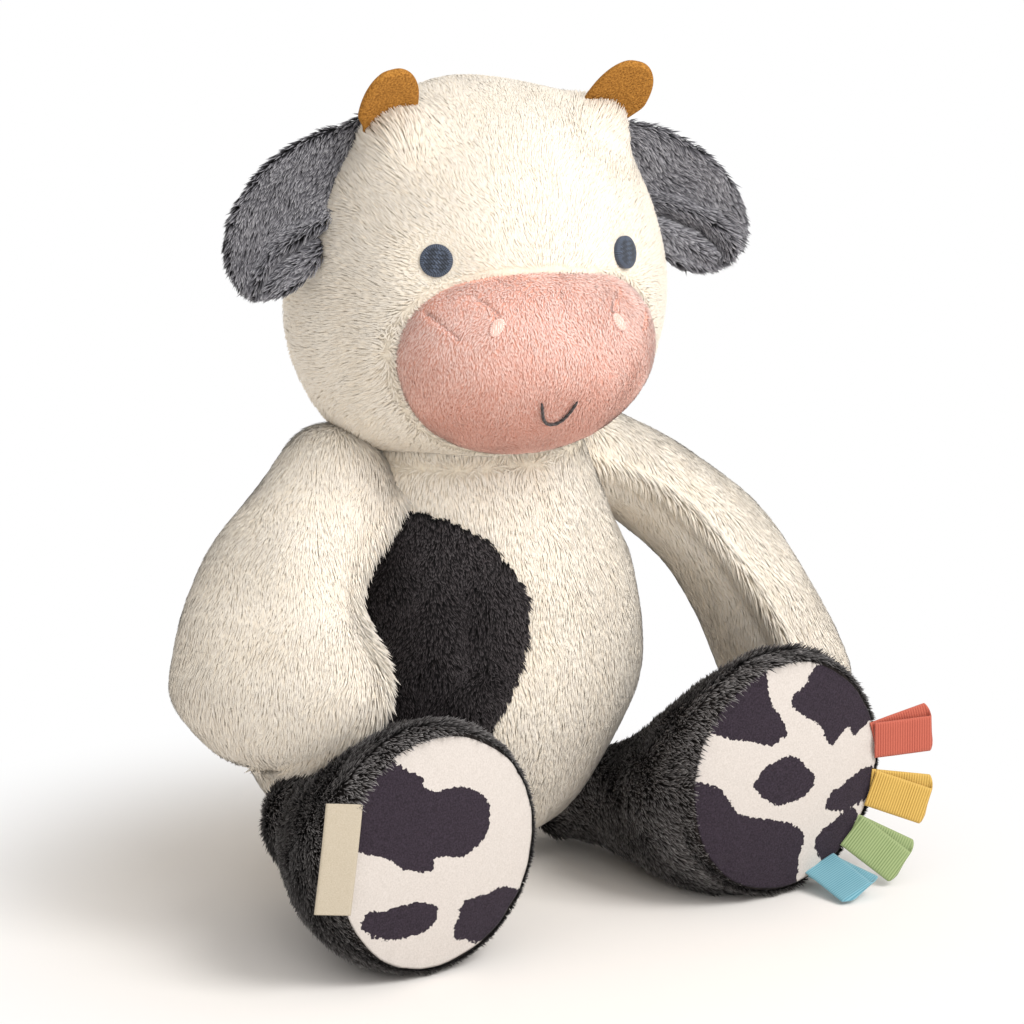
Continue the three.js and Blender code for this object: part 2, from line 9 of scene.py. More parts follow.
import bpy
import numpy as np
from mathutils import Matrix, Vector


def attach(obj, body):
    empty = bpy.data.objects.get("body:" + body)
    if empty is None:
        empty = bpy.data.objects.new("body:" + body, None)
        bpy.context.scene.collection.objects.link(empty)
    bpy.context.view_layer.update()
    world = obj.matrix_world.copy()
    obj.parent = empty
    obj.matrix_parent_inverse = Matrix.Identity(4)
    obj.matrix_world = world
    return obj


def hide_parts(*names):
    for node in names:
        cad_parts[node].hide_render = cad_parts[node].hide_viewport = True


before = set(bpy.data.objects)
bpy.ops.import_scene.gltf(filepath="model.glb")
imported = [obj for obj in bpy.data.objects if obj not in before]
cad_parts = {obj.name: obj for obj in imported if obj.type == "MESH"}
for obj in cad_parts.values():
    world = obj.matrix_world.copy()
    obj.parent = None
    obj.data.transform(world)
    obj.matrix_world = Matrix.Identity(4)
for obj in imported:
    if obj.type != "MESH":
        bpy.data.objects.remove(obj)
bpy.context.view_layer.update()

MM = 0.001
FLOOR = 0.3  # the lowest that a hair may lie

BODY = {
    "height": 187,
    "seat": 30,
    "hip": 86,
    "hip_height": 84,
    "shoulder": 66,
    "shoulder_height": 150,
    "neck": 50,
    "depth_share": 0.93,
    "lean": math.tan(math.radians(9)),
}
SEAT_SHARE = 0.06  # the v up to which the flat seat runs
HIP_STEPS = ((0.32, 0.15), (0.65, 0.36), (0.9, 0.66))  # shares out and up, from seat to hip
CHEST_STEP = (0.42, 0.6)  # the same, from hip to shoulder
BODY_MIDDLE = np.array([0, -15, 90.0])
PATCH_FACING = math.radians(-38)
PATCH_OUTLINE = [
    (-14, 166), (14, 162), (33, 149), (43, 131), (42, 108), (31, 82),
    (12, 60), (-18, 62), (-38, 88), (-43, 124), (-34, 154),
]
HEAD = {"half": (77, 70, 75.5), "taper": 0.1, "fullness": 0.82, "sunk": 8.5, "forward": 10}
HEAD_TURN, HEAD_TILT = -14.5, 3.4
MUZZLE = {"half": (53.5, 39, 40.5), "taper": -0.1, "fullness": 0.85, "forward": 51, "below": 25}
CHIN, CHIN_POWER = 11, 1.5  # how far the muzzle's underside lies back, and how late it goes back
EYE = {"radius": 6.45, "side": 41.7, "above": 16.5}
NOSTRIL = {"half": (2.4, 3.9), "side": 25.9, "above": 20.5, "slant": 28}
MOUTH = {
    "width": 15, "height": 10.5, "round": 2.5, "below": 9,
    "thread": 1.3, "proud": 0.35, "twist": 5.2,
}
HORN = {
    "width": 25.5, "height": 32.5, "root": 5, "thickness": 3.6, "side": 46.5, "forward": 10,
    "straight": 9, "tip": 2.4, "section": 0.55, "cut": 0.3, "cut_height": 13, "bend": 1.2,
}
HORN_LEAN, HORN_PITCH = 12, 36
EAR = {
    "right": [(56, 0, 49), (90, 6, 34), (99.5, 18, -3)],
    "left": [(56, 0, 47), (86, 6, 33), (94, 18, 0)],
    "width": 42,
    "root_width": 20,
    "thickness": 3.2,
    "cup": 6,
    "round": 0.68,
    "tucked": 0.14,
}
EAR_FOLD = {  # where it meets the inner and outer edge, and the shares in which it rises and falls
    "right": (0.42, 1.5),
    "left": (0.36, 1.15),
    "length": 71.25,
    "rise": 0.3,
    "end": 1.02,
    "fall": 0.1,
    "waves": ((3.4, -7, 6), (2.0, 16, 8), (-4.6, 2, 5)),
}
ARM = {"root_half": 25, "hand_broad": 41, "hand_thin": 25, "hand_cap": 34, "twist": 25}
ARM_ENDS = (0.16, 0.72)  # where an arm's rounded root ends, and its rounded hand starts
ARM_SWELLS = {  # which way, how far, about which v and how wide
    "right": [
        ("in", -5, 0.44, 0.12), ("in", 8, 0.66, 0.1), ("in", 9, 0.79, 0.1),
        ("in", 10, 0.92, 0.08), ("out", 8, 0.33, 0.16), ("out", 2, 0.6, 0.1),
        ("out", -4, 0.87, 0.08), ("up", 8, 0.1, 0.1),
    ],
    "left": [("up", -6, 0.2, 0.1), ("up", -6, 0.36, 0.1), ("up", 2, 0.75, 0.12)],
}
ARM_SEAM = {"fold": 2.0, "groove": 1.1, "width": 3.2, "below": 5.5}  # a groove below a fold
ARM_LINE = {
    "right": [(-62, -32, 168), (-99, -44, 148), (-115, -54, 107)],
    "left": [(62, -32, 168), (124, -32, 146), (150, -52, 62)],
}
SOLE = {"half": (47.0, 46.6), "crown": 4, "thickness": 2.4, "proud": 0.5}
RIM = (47.4, 46.9)
LEG = {"bulge": 1.4, "rim_out": 2.0, "rim_length": 10}
LEG_ENDS = (0.2, 0.86)  # where a leg's rounded hip ends, and its roll over the rim starts
LEG_LOWEST = 1.5  # the height at which a leg's cloth lies flat
LEG_PLACE = {
    "right": {
        "hip": (-79.5, -42, 40), "hip_half": 23, "sole": (-86.5, -126, 50.7),
        "flare": 1.3, "sag": 2,
    },
    "left": {
        "hip": (59, -27, 22), "hip_half": 19.5, "sole": (82, -134, 50.7),
        "flare": 2.6, "sag": 5,
    },
}
SIDES = {"right": -1, "left": 1}
UP, DOWN, AHEAD = np.array([0, 0, 1.0]), np.array([0, 0, -1.0]), np.array([0, -1.0, 0])
SOFTNESS = {"size": 55, "depth": 0.9}  # how far apart and how deep the stuffing's soft dents are
SOFT_SEED = {"body": 3, "head": 7, "arm": 23}
WAVES, WAVE_SCALE = 8, 2.8  # a ripple's sine waves, and what brings their sum to about 1


# Small sums that many pieces share


def unit(vectors):
    """Vectors at length one."""
    return vectors / np.maximum(np.linalg.norm(vectors, axis=-1, keepdims=True), 1e-9)


def mix(a, b, t):
    """From a at t = 0 to b at t = 1."""
    return a + (b - a) * t


def smooth(t):
    """An S curve from 0 to 1, level at both ends."""
    t = np.clip(t, 0, 1)
    return t * t * (3 - 2 * t)


def hump(away, reach):
    """1 where away is 0, falling to 0 as exp(-(away / reach)^2)."""
    return np.exp(-((away / reach) ** 2))


def rounded(t):
    """A share from 0 to 1 as an angle from 0 to a quarter turn."""
    return np.clip(t, 0, 1) * np.pi / 2


def turned(axis, degrees):
    """The matrix of a turn about the x, y or z axis."""
    c, s = math.cos(math.radians(degrees)), math.sin(math.radians(degrees))
    i, j = {"x": (1, 2), "y": (2, 0), "z": (0, 1)}[axis]
    matrix = np.eye(3)
    matrix[i, i] = matrix[j, j] = c
    matrix[i, j], matrix[j, i] = -s, s
    return matrix


def ripple(points, size, seed):
    """Smooth noise: the sum of sine waves about that long, each along a seeded direction."""
    rng = np.random.default_rng(seed)
    ways = unit(rng.normal(size=(WAVES, 3))) * rng.uniform(0.7, 1.4, (WAVES, 1)) * 2 * np.pi / size
    return np.sin(points @ ways.T + rng.uniform(0, 2 * np.pi, WAVES)).sum(axis=-1) / WAVE_SCALE


def ripple_vectors(points, size, seed):
    """Three ripples as the parts of a vector."""
    return np.stack([ripple(points, size, seed + k) for k in range(3)], axis=-1)


def bezier(a, b, c, t):
    """The curve (1 - t)^2 a + 2 t (1 - t) b + t^2 c, and its direction."""
    a, b, c, t = np.array(a, float), np.array(b, float), np.array(c, float), t[:, None]
    point = (1 - t) ** 2 * a + 2 * t * (1 - t) * b + t * t * c
    return point, unit((1 - t) * (b - a) + t * (c - b))


def spline(points, t):
    """A Catmull-Rom curve through the points, with t from 0 to 1."""
    points = np.array(points, float)
    last = len(points) - 1
    place = np.clip(t, 0, 1) * last
    i = np.minimum(place.astype(int), last - 1)
    w = (place - i)[:, None]
    before, a, b, after = (points[np.clip(i + k, 0, last)] for k in (-1, 0, 1, 2))
    slope_a, slope_b = (b - before) / 2, (after - a) / 2
    return (
        (2 * a - 2 * b + slope_a + slope_b) * w**3
        + (-3 * a + 3 * b - 2 * slope_a - slope_b) * w**2
        + slope_a * w
        + a
    )


# Forms: each is a function of u, once round, and v, from one end to the other


def body_profile(v):
    """Half width and height of the pear: a flat seat up to SEAT_SHARE, then a curve to the neck."""
    seat, hip, shoulder = BODY["seat"], BODY["hip"], BODY["shoulder"]
    low, high = BODY["hip_height"], BODY["shoulder_height"]
    points = [(seat, 0)]
    points += [(mix(seat, hip, out), low * up) for out, up in HIP_STEPS]
    points += [(hip, low), (mix(hip, shoulder, CHEST_STEP[0]), mix(low, high, CHEST_STEP[1]))]
    points += [(shoulder, high), (BODY["neck"], BODY["height"])]
    at = spline(points, (v - SEAT_SHARE) / (1 - SEAT_SHARE))
    share = np.clip(v / SEAT_SHARE, 0, 1)
    return at[:, 0] * share, at[:, 1]


def softened(points, middle, seed):
    """Points moved away from or towards a middle by a slow ripple, as stuffing lies unevenly."""
    swell = SOFTNESS["depth"] * (ripple(points, SOFTNESS["size"], seed) - 0.5)
    return points + unit(points - middle) * swell[..., None]


def body_ring(half, a, z):
    """Ellipses round a line that leans forward: (h cos a, d h sin a - lean z, z), softened."""
    y = half * BODY["depth_share"] * np.sin(a) - z * BODY["lean"]
    return softened(np.stack([half * np.cos(a), y, z], axis=-1), BODY_MIDDLE, SOFT_SEED["body"])


def body_form(u, v, grow=0.0):
    """The pear: a ring of the profile's half width at each of its heights."""
    half, z = body_profile(v)
    points = body_ring(half + grow * np.clip(v / SEAT_SHARE, 0, 1), 2 * np.pi * u, z)
    points[..., 2] = np.maximum(points[..., 2], FLOOR - min(grow, 0))
    return points


def egg(form, u, v, grow=0.0):
    """At the polar angle p from the top, a ring that is (1 - taper cos p) sin(p)^fullness wide."""
    p = np.pi * (1 - v)
    wide = (1 - form["taper"] * np.cos(p)) * np.maximum(np.sin(p), 1e-6) ** form["fullness"]
    a = 2 * np.pi * u
    x, y, z = (half + grow for half in form["half"])
    return np.stack([x * wide * np.cos(a), y * wide * np.sin(a), z * np.cos(p)], axis=-1)


def egg_front(form, x, z, grow=0.0):
    """The point of an egg's front over (x, z)."""
    half_x, half_y, half_z = (half + grow for half in form["half"])
    cos = np.clip(z / half_z, -1, 1)
    wide = (1 - form["taper"] * cos) * np.maximum(1 - cos * cos, 1e-9) ** (form["fullness"] / 2)
    share = np.clip(x / (half_x * wide), -1, 1)
    return np.stack([x + 0 * z, -half_y * wide * np.sqrt(1 - share * share), z + 0 * x], axis=-1)


def egg_depth(form, points):
    """How deep points lie in an egg: 0 at its middle and 1 on its skin."""
    x, y, z = (points[..., k] / form["half"][k] for k in range(3))
    cos = np.clip(z, -0.999, 0.999)
    wide = (1 - form["taper"] * cos) * (1 - cos * cos) ** (form["fullness"] / 2)
    return np.where(np.abs(z) > 0.999, 9, np.hypot(x, y) / wide)


neck_y = -BODY["height"] * BODY["lean"]
head_height = BODY["height"] + HEAD["half"][2] - HEAD["sunk"]
head_middle = np.array([0, neck_y - HEAD["forward"], head_height])
head_turn = turned("z", HEAD_TURN) @ turned("y", HEAD_TILT)
muzzle_offset = np.array([0, -MUZZLE["forward"], -MUZZLE["below"]])


def from_head(points):
    """From the head's own frame to the cow's."""
    return points @ head_turn.T + head_middle


def to_head(points):
    """From the cow's frame to the head's own."""
    return (points - head_middle) @ head_turn


def from_muzzle(points):
    """From the muzzle's own frame to the cow's."""
    return from_head(points + muzzle_offset)


def eye_middle(sign):
    """An eye's middle in the head's own frame."""
    return egg_front(HEAD, np.array(sign * EYE["side"]), np.array(EYE["above"]))


EYE_DENT = {"depth": 2.0, "reach": 12}
HORN_SWELL = {"height": 6.5, "reach": 14, "aside": 4, "ahead": 7}
CHEEK = {"place": (-50, -12, -50), "height": 6, "reach": 26}
FOOT_STEPS = 600  # the heights among which a horn's foot is looked for


def horn_feet():
    """Where the horns stand, in the head's own frame."""
    z = np.linspace(HEAD["half"][2], 0, FOOT_STEPS)
    reach = math.hypot(HORN["side"], HORN["forward"])
    wide = egg(HEAD, 0 * z, 1 - np.arccos(z / HEAD["half"][2]) / np.pi)[:, 0]
    seat = z[np.argmax(wide >= reach)]
    return {
        side: np.array([sign * HORN["side"], -HORN["forward"], seat])
        for side, sign in SIDES.items()
    }


def near_horn(local):
    """1 in front of a horn's foot, falling away smoothly round it."""
    fronts = [
        foot - np.array([HORN_SWELL["aside"] * SIDES[side], HORN_SWELL["ahead"], 0])
        for side, foot in horn_feet().items()
    ]
    away = np.min([np.linalg.norm(local - front, axis=-1) for front in fronts], axis=0)
    return hump(away, HORN_SWELL["reach"])


def head_form(u, v, grow=0.0):
    """The head's egg, risen round the horns and on its right cheek, which lies on the shoulder,
    and pressed in round each eye, each by its height times a hump."""
    points = softened(egg(HEAD, u, v, grow), np.zeros(3), SOFT_SEED["head"])
    points = points + unit(points) * HORN_SWELL["height"] * near_horn(points)[..., None]
    away = np.linalg.norm(points - np.array(CHEEK["place"]), axis=-1, keepdims=True)
    points = points + unit(points) * CHEEK["height"] * hump(away, CHEEK["reach"])
    for sign in SIDES.values():
        away = np.linalg.norm(points - eye_middle(sign), axis=-1, keepdims=True)
        points = points - unit(points) * EYE_DENT["depth"] * hump(away, EYE_DENT["reach"])
    return from_head(points)


DARTS = [
    [(45, -7, 22), (42, -17, 19), (39, -23.5, 15.5)],
    [(27, -16.5, 30), (25, -21, 28.5), (23, -26, 25)],
]
DART = {"depth": 1.3, "reach": 1.1, "skin": 0.97}  # skin: how deep in the egg the darts' lines run


def receded(points, way=1):
    """Points of the muzzle's egg moved back more and more down to its chin; way -1 undoes it."""
    back = way * CHIN * np.clip(-points[..., 2] / MUZZLE["half"][2], 0, 1) ** CHIN_POWER
    return points + back[..., None] * np.array([0, 1.0, 0])


def dart_distance(points):
    """How far points are from the nearest of the muzzle's sewn darts, in its own frame."""
    nearest = np.full(points.shape[:-1], 1e9)
    folded = np.abs(points) * np.array([1, 0, 0]) + points * np.array([0, 1, 1])
    for dart in DARTS:
        dart = np.array(dart, float)
        dart[:, :2] *= DART["skin"] / egg_depth(MUZZLE, dart)[:, None]
        for a, b in zip(dart[:-1], dart[1:]):
            share = np.clip((folded - a) @ (b - a) / ((b - a) @ (b - a)), 0, 1)[..., None]
            nearest = np.minimum(nearest, np.linalg.norm(folded - a - share * (b - a), axis=-1))
    return nearest


def muzzle_form(u, v, grow=0.0):
    """The muzzle's oval cushion, drawn in along its darts."""
    points = receded(egg(MUZZLE, u, v, grow))
    groove = DART["depth"] * hump(dart_distance(points), DART["reach"])
    return from_muzzle(points - unit(points) * groove[..., None])


def tube_point(middle, side, over, broad, thin, u):
    """A round about a middle: middle + side broad cos a + over thin sin a."""
    a = 2 * np.pi * u
    return middle + side * (broad * np.cos(a))[:, None] + over * (thin * np.sin(a))[:, None]


def arm_line(side, v):
    """An arm's middle line, drawn between its rounded ends, and its frame."""
    t = np.clip((v - ARM_ENDS[0]) / (ARM_ENDS[1] - ARM_ENDS[0]), 0, 1)
    middle, along = bezier(*ARM_LINE[side], t)
    twist = math.radians(ARM["twist"])
    broad_way = np.array([-SIDES[side] * math.sin(twist), -math.cos(twist), 0])
    across = unit(broad_way - along * (along @ broad_way)[:, None])
    return t, middle, along, across, np.cross(along, across)


def arm_form(side, u, v, grow=0.0):
    """A tube that broadens into a hand, with quarter ellipses closing both ends. Each swell pushes
    one side by far, times a hump of its width about its own v."""
    t, middle, along, across, over = arm_line(side, v)
    root = rounded((ARM_ENDS[0] - v) / ARM_ENDS[0])
    hand = rounded((v - ARM_ENDS[1]) / (1 - ARM_ENDS[1]))
    reach = (ARM["hand_cap"] + grow) * np.sin(hand) - (ARM["root_half"] + grow) * np.sin(root)
    middle = middle + along * reach[:, None]
    scale = np.cos(root) * np.cos(hand)
    broad = (mix(ARM["root_half"], ARM["hand_broad"], smooth(t)) + grow) * scale
    thin = (mix(ARM["root_half"], ARM["hand_thin"], t) + grow) * scale
    a = 2 * np.pi * u
    upwards = -SIDES[side]
    sides = {
        "in": (across, np.cos(a)),
        "out": (-across, -np.cos(a)),
        "up": (upwards * over, upwards * np.sin(a)),
    }
    for name, far, about, wide in ARM_SWELLS[side]:
        way, facing = sides[name]
        swell = far * np.maximum(facing, 0) * scale * hump(v - about, wide)
        middle = middle + way * swell[:, None]
    height = upwards * thin * np.sin(a)
    fold = ARM_SEAM["fold"] * hump(height, ARM_SEAM["width"])
    groove = ARM_SEAM["groove"] * hump(height + ARM_SEAM["below"], ARM_SEAM["width"])
    stands = (fold - groove) * np.maximum(np.cos(a), 0) * scale
    points = tube_point(middle, across, over, broad, thin, u) + across * stands[:, None]
    return softened(points, middle, SOFT_SEED["arm"] + SIDES[side])


def leg_form(side, u, v, grow=0.0):
    """From a round hip the size grows as t^f (1 + f (1 - t)) to the rim, which then rolls over in
    a quarter round to the sole's seam. The middle line sags by 4 sag t (1 - t)."""
    place = LEG_PLACE[side]
    hip, sole = np.array(place["hip"], float), np.array(place["sole"], float)
    rim_start = sole + np.array([0, LEG["rim_length"], 0])
    t = np.clip((v - LEG_ENDS[0]) / (LEG_ENDS[1] - LEG_ENDS[0]), 0, 1)
    cap = rounded((LEG_ENDS[0] - v) / LEG_ENDS[0])
    roll = rounded((v - LEG_ENDS[1]) / (1 - LEG_ENDS[1]))
    middle = mix(hip, rim_start, t[:, None])
    middle[:, 2] -= 4 * place["sag"] * t * (1 - t)
    middle[:, 1] += (place["hip_half"] + grow) * np.sin(cap) - LEG["rim_length"] * np.sin(roll)
    flare = t ** place["flare"] * (1 + place["flare"] * (1 - t))
    sizes = []
    for rim in RIM:
        size = mix(place["hip_half"], rim + LEG["rim_out"] + LEG["bulge"], flare) + grow
        sizes.append(size * np.cos(cap) - LEG["bulge"] * (1 - np.cos(roll)))
    points = tube_point(middle, np.array([[1.0, 0, 0]]), UP[None], *sizes, u)
    return np.maximum(points, [-np.inf, -np.inf, LEG_LOWEST])


def ear_line(side, t):
    """The ear's droop from its root, and its frame: along it, across it and out of its front."""
    root, bend, tip = ([SIDES[side] * x, -y, z] for x, y, z in EAR[side])
    point, along = bezier(root, bend, tip, t)
    across = unit(np.cross(along, AHEAD))
    return point, along, across, unit(np.cross(across, along))


def ear_fold(side, t, s):
    """How far an ear's front is raised: a valley along the fold, which runs slantwise from inner to
    outer edge, and a swell to either side of it. Each is a hump of a height, so far ahead of the
    fold and so wide."""
    inner, outer = EAR_FOLD[side]
    ahead = (t - mix(inner, outer, (1 - s * SIDES[side]) / 2)) * EAR_FOLD["length"]
    depth = smooth(t / EAR_FOLD["rise"]) * smooth((EAR_FOLD["end"] - t) / EAR_FOLD["fall"])
    waves = (height * hump(ahead - place, wide) for height, place, wide in EAR_FOLD["waves"])
    return depth * sum(waves)


def ear_form(side, u, v, grow=0.0):
    """A padded leaf: an oval section, half wide and thick, bent by cup (s^2 - 1/2) across it."""
    t = mix(-EAR["tucked"], 1.0, np.sin(rounded(v)))
    point, _, across, front = ear_line(side, t)
    swell = np.sin(rounded(t / EAR["round"]))
    past = np.clip((t - EAR["round"]) / (1 - EAR["round"]), 0, 1)
    closing = np.sqrt(np.maximum(1 - past * past, 1e-4))
    half = (mix(EAR["root_width"], EAR["width"], swell) / 2 + grow) * closing
    a = 2 * np.pi * u
    s = np.cos(a)
    cup = EAR["cup"] * (s * s - 0.5) * swell * 2 * half / EAR["width"] + ear_fold(side, t, s)
    thick = (EAR["thickness"] + grow) * np.sin(a) * np.sqrt(closing)
    return from_head(point + across * (half * s)[:, None] + front * (cup + thick)[:, None])


# Meshes


def ring_faces(rings, points):
    """Two triangles for each cell between rings of points, and a fan to a hub at either end."""
    i, j = np.meshgrid(np.arange(rings - 1), np.arange(points), indexing="ij")
    a, b = i * points + j, i * points + (j + 1) % points
    cells = np.stack([a, b, b + points, a, b + points, a + points], axis=-1).reshape(-1, 3)
    k = np.arange(points)
    after = (k + 1) % points
    top = (rings - 1) * points
    hub = rings * points
    start = np.stack([np.full(points, hub), after, k], axis=-1)
    end = np.stack([np.full(points, hub + 1), top + k, top + after], axis=-1)
    return np.concatenate([cells, start, end])


def outward(points, faces):
    """The faces, turned round if together they enclose a negative volume."""
    a, b, c = (points[faces[:, k]] for k in range(3))
    return faces if np.einsum("ij,ij->i", a, np.cross(b, c)).sum() > 0 else faces[:, ::-1]


def round_grid(rings, points, v_range=(0.0, 1.0)):
    """The u and v of points on rings: u once round each, and v from the first ring to the last."""
    v, u = np.meshgrid(np.linspace(*v_range, rings), np.arange(points) / points, indexing="ij")
    return u.ravel(), v.ravel()


def closed_skin(grid, points, hubs=None):
    """A grid's points with a hub to close either end, and the triangles over them. The hubs are the
    middles of the end rings unless others are given."""
    if hubs is None:
        hubs = [grid[:points].mean(axis=0), grid[-points:].mean(axis=0)]
    vertices = np.concatenate([grid, hubs])
    return vertices, outward(vertices, ring_faces(len(grid) // points, points))


def skin_arrays(form, rings, points, v_range=(0.0, 1.0)):
    """The closed skin over a form's points on a grid of rings."""
    return closed_skin(form(*round_grid(rings, points, v_range)), points)


HUB_THREAD = [0.5, 0.5]  # the mark named thread at a skin's two hubs


def path_length(line):
    """How far along a line each of its points lies."""
    return np.concatenate([[0], np.cumsum(np.linalg.norm(np.diff(line, axis=0), axis=-1))])


def mesh_piece(name, points, faces, material, uv=None, marks=None):
    """An object from points in millimetres and triangles, with UVs for its corners and marks for
    its points."""
    mesh = bpy.data.meshes.new(name)
    mesh.vertices.add(len(points))
    mesh.vertices.foreach_set("co", (points * MM).astype(np.float32).ravel())
    mesh.loops.add(faces.size)
    mesh.loops.foreach_set("vertex_index", faces.astype(np.int32).ravel())
    mesh.polygons.add(len(faces))
    mesh.polygons.foreach_set("loop_start", np.arange(0, faces.size, 3, dtype=np.int32))
    mesh.polygons.foreach_set("use_smooth", np.ones(len(faces), bool))
    mesh.update(calc_edges=True)
    if uv is not None:
        layer = mesh.uv_layers.new(name="OFBake")
        layer.data.foreach_set("uv", uv.astype(np.float32).ravel())
    for mark, values in (marks or {}).items():
        layer = mesh.attributes.new(mark, "FLOAT", "POINT")
        layer.data.foreach_set("value", values.astype(np.float32))
    mesh.materials.append(material)
    piece = bpy.data.objects.new(name, mesh)
    bpy.context.scene.collection.objects.link(piece)
    return piece


def dress(piece, body, nodes=()):
    """Rides the piece on its body and hides the solids that it stands for."""
    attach(piece, body)
    if nodes:
        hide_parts(*nodes)
    return piece


# Pile: thousands of hairs, each a long thin diamond of four triangles

HAIRS, BACK_HAIRS = 49000, 25000  # of a front half, and of a half turned from the photograph
HAIR_FACES = np.array([(0, 2, 1), (0, 1, 3), (0, 3, 2), (1, 2, 3)])
HAIR_UV = np.array([(0, 0.02), (-0.012, 0.5), (0.012, 0.5), (0, 0.98)])
HAIR_ROUNDNESS = 0.12  # how far the shading turns from a hair's one edge to the other
HAIR_TIP_SHADE = 0.3  # how far it turns towards the tip
HAIR_BEND = 0.45  # the share of a hair's length that lies below its bend
HAIR_LONG, HAIR_BROAD = (0.75, 1.15), (0.7, 1.25)  # least and most, as shares of a fur's own size
HAIR_STEEP, HAIR_SHADE = (0.3, 2), (0.03, 0.97)
STRAY = {"size": 22, "alone": 0.5}  # mm over which hairs stray alike, and how much more each alone
RUFFLED = {"size": 9, "shared": 0.2, "alone": 0.15}
SHADED = {"size": 30, "middle": 0.5, "shared": 0.08, "alone": 0.2}
LUMPS = {"size": 3, "wavy": 0.4, "least": 0.3}  # how wavy their borders are, over so many lumps
SCATTER_CELLS, SCATTER_STEP = (150, 220), 1e-3


def form_normal(form, u, v, step_u, step_v):
    """The cross product of a form's steps along u and v, which is as long as they are."""
    along_u = form(u + step_u, v) - form(u - step_u, v)
    return np.cross(along_u, form(u, v + step_v) - form(u, v - step_v))


def scatter(form, count, keep, seed):
    """Points spread evenly by area over a form where keep is positive, and the normals there."""
    rows, columns = SCATTER_CELLS
    rng = np.random.default_rng(seed)
    v, u = (g.ravel() for g in np.meshgrid(
        (np.arange(rows) + 0.5) / rows, (np.arange(columns) + 0.5) / columns, indexing="ij"
    ))
    points = form(u, v)
    area = np.linalg.norm(form_normal(form, u, v, 0.5 / columns, 0.5 / rows), axis=-1)
    running = np.cumsum(area * keep(points))
    cell = np.searchsorted(running / running[-1], (np.arange(count) + rng.random(count)) / count)
    cell = np.minimum(cell, len(area) - 1)
    u = u[cell] + (rng.random(count) - 0.5) / columns
    v = np.clip(v[cell] + (rng.random(count) - 0.5) / rows, 0.002, 0.998)
    normal = unit(form_normal(form, u, v, SCATTER_STEP, SCATTER_STEP))
    root = form(u, v)
    if ((root - root.mean(axis=0)) * normal).sum() < 0:
        normal = -normal
    return root, normal, rng


def hair_mesh(name, material, root, bend, tip, across, width, normal, shade):
    """Hairs from root over bend to tip, widest at the bend. They shade much as the cloth that they
    cover. In their UVs, U is the hair's shade and V runs from root to tip."""
    side = across * (width / 2)[:, None]
    left, right = bend - side, bend + side
    solid = np.einsum("ij,ij->i", np.cross(left - root, right - root), tip - root) > 0
    sign = np.where(solid, 1.0, -1.0)[:, None]
    points = np.stack([root, bend - side * sign, bend + side * sign, tip], axis=1)
    points[..., 2] = np.maximum(points[..., 2], FLOOR)
    spread = across * sign * HAIR_ROUNDNESS
    towards_tip = unit(tip - bend) * HAIR_TIP_SHADE
    normals = np.stack([normal, normal - spread, normal + spread, normal + towards_tip], axis=1)
    faces = (HAIR_FACES[None] + 4 * np.arange(len(root))[:, None, None]).reshape(-1, 3)
    shades = np.stack([shade, 0 * shade], axis=-1)
    uv = (shades[:, None] + HAIR_UV).reshape(-1, 2)[faces.ravel()]
    piece = mesh_piece(name, points.reshape(-1, 3), faces, material, uv)
    piece.data.normals_split_custom_set_from_vertices(unit(normals).reshape(-1, 3))
    return piece


def pile(
    name, form, material, count, comb, seed, length, lift, width=0.6, keep=None, reach=None,
    stand=None, painted_light=None, lit=None, gather=(1.8, 0.16), wander=0.22, ruffle=1.0,
):
    """Fur over a form. comb gives each hair's way and wander how far it strays, lift how steep its
    root and its tip stand (0 lies flat); reach scales the length, stand the lift, and tint adds to
    the shade; lit turns the normals that the hairs shade with. gather holds the size of a lump in
    mm and how far its hairs' tips draw together, and ruffle is how unevenly the hairs stand."""
    root, normal, rng = scatter(form, count, keep or (lambda p: 1.0), seed)
    way = comb(root, normal) + wander * ripple_vectors(root, STRAY["size"], seed)
    way = way + STRAY["alone"] * wander * rng.normal(size=root.shape)
    way = unit(way - normal * (way * normal).sum(axis=-1, keepdims=True))
    long = length * rng.uniform(*HAIR_LONG, count) * (1 if reach is None else reach(root))
    uneven = RUFFLED["shared"] * ripple(root, RUFFLED["size"], seed + 9)
    uneven = ruffle * (uneven + RUFFLED["alone"] * rng.normal(size=count))
    steep = np.clip(1 + uneven, *HAIR_STEEP)[:, None]
    if stand is not None:
        steep = steep * stand(root)[:, None]
    bend = root + unit(way + normal * lift[0] * steep) * (HAIR_BEND * long)[:, None]
    tip = bend + unit(way + normal * lift[1] * steep) * ((1 - HAIR_BEND) * long)[:, None]
    size, drawn = gather
    lump = bend + LUMPS["wavy"] * size * ripple_vectors(bend, LUMPS["size"] * size, seed + 5)
    lump = np.floor(lump / size).astype(np.int64)
    _, group, members = np.unique(lump, axis=0, return_inverse=True, return_counts=True)
    group = group.ravel()
    sums = [np.bincount(group, tip[:, k]) / members for k in range(3)]
    centre = np.stack(sums, axis=-1)[group]
    tip = mix(tip, centre, drawn * rng.uniform(LUMPS["least"], 1, count)[:, None])
    shade = SHADED["middle"] + SHADED["alone"] * rng.normal(size=count)
    shade = shade + SHADED["shared"] * ripple(root, SHADED["size"], seed + 7)
    # Painted light and shade that a fur may add to each hair's shade
    if painted_light is not None:
        shade = shade + painted_light(root)
    shade = np.clip(shade, *HAIR_SHADE)
    broad = width * rng.uniform(*HAIR_BROAD, count)
    shading = normal if lit is None else lit(normal)
    return hair_mesh(name, material, root, bend, tip, np.cross(way, normal), broad, shading, shade)


# Materials


def paint(code):
    """A colour written as RRGGBB, in linear light."""
    parts = [int(code[k : k + 2], 16) / 255 for k in (0, 2, 4)]
    return [p / 12.92 if p <= 0.04045 else ((p + 0.055) / 1.055) ** 2.4 for p in parts] + [1.0]


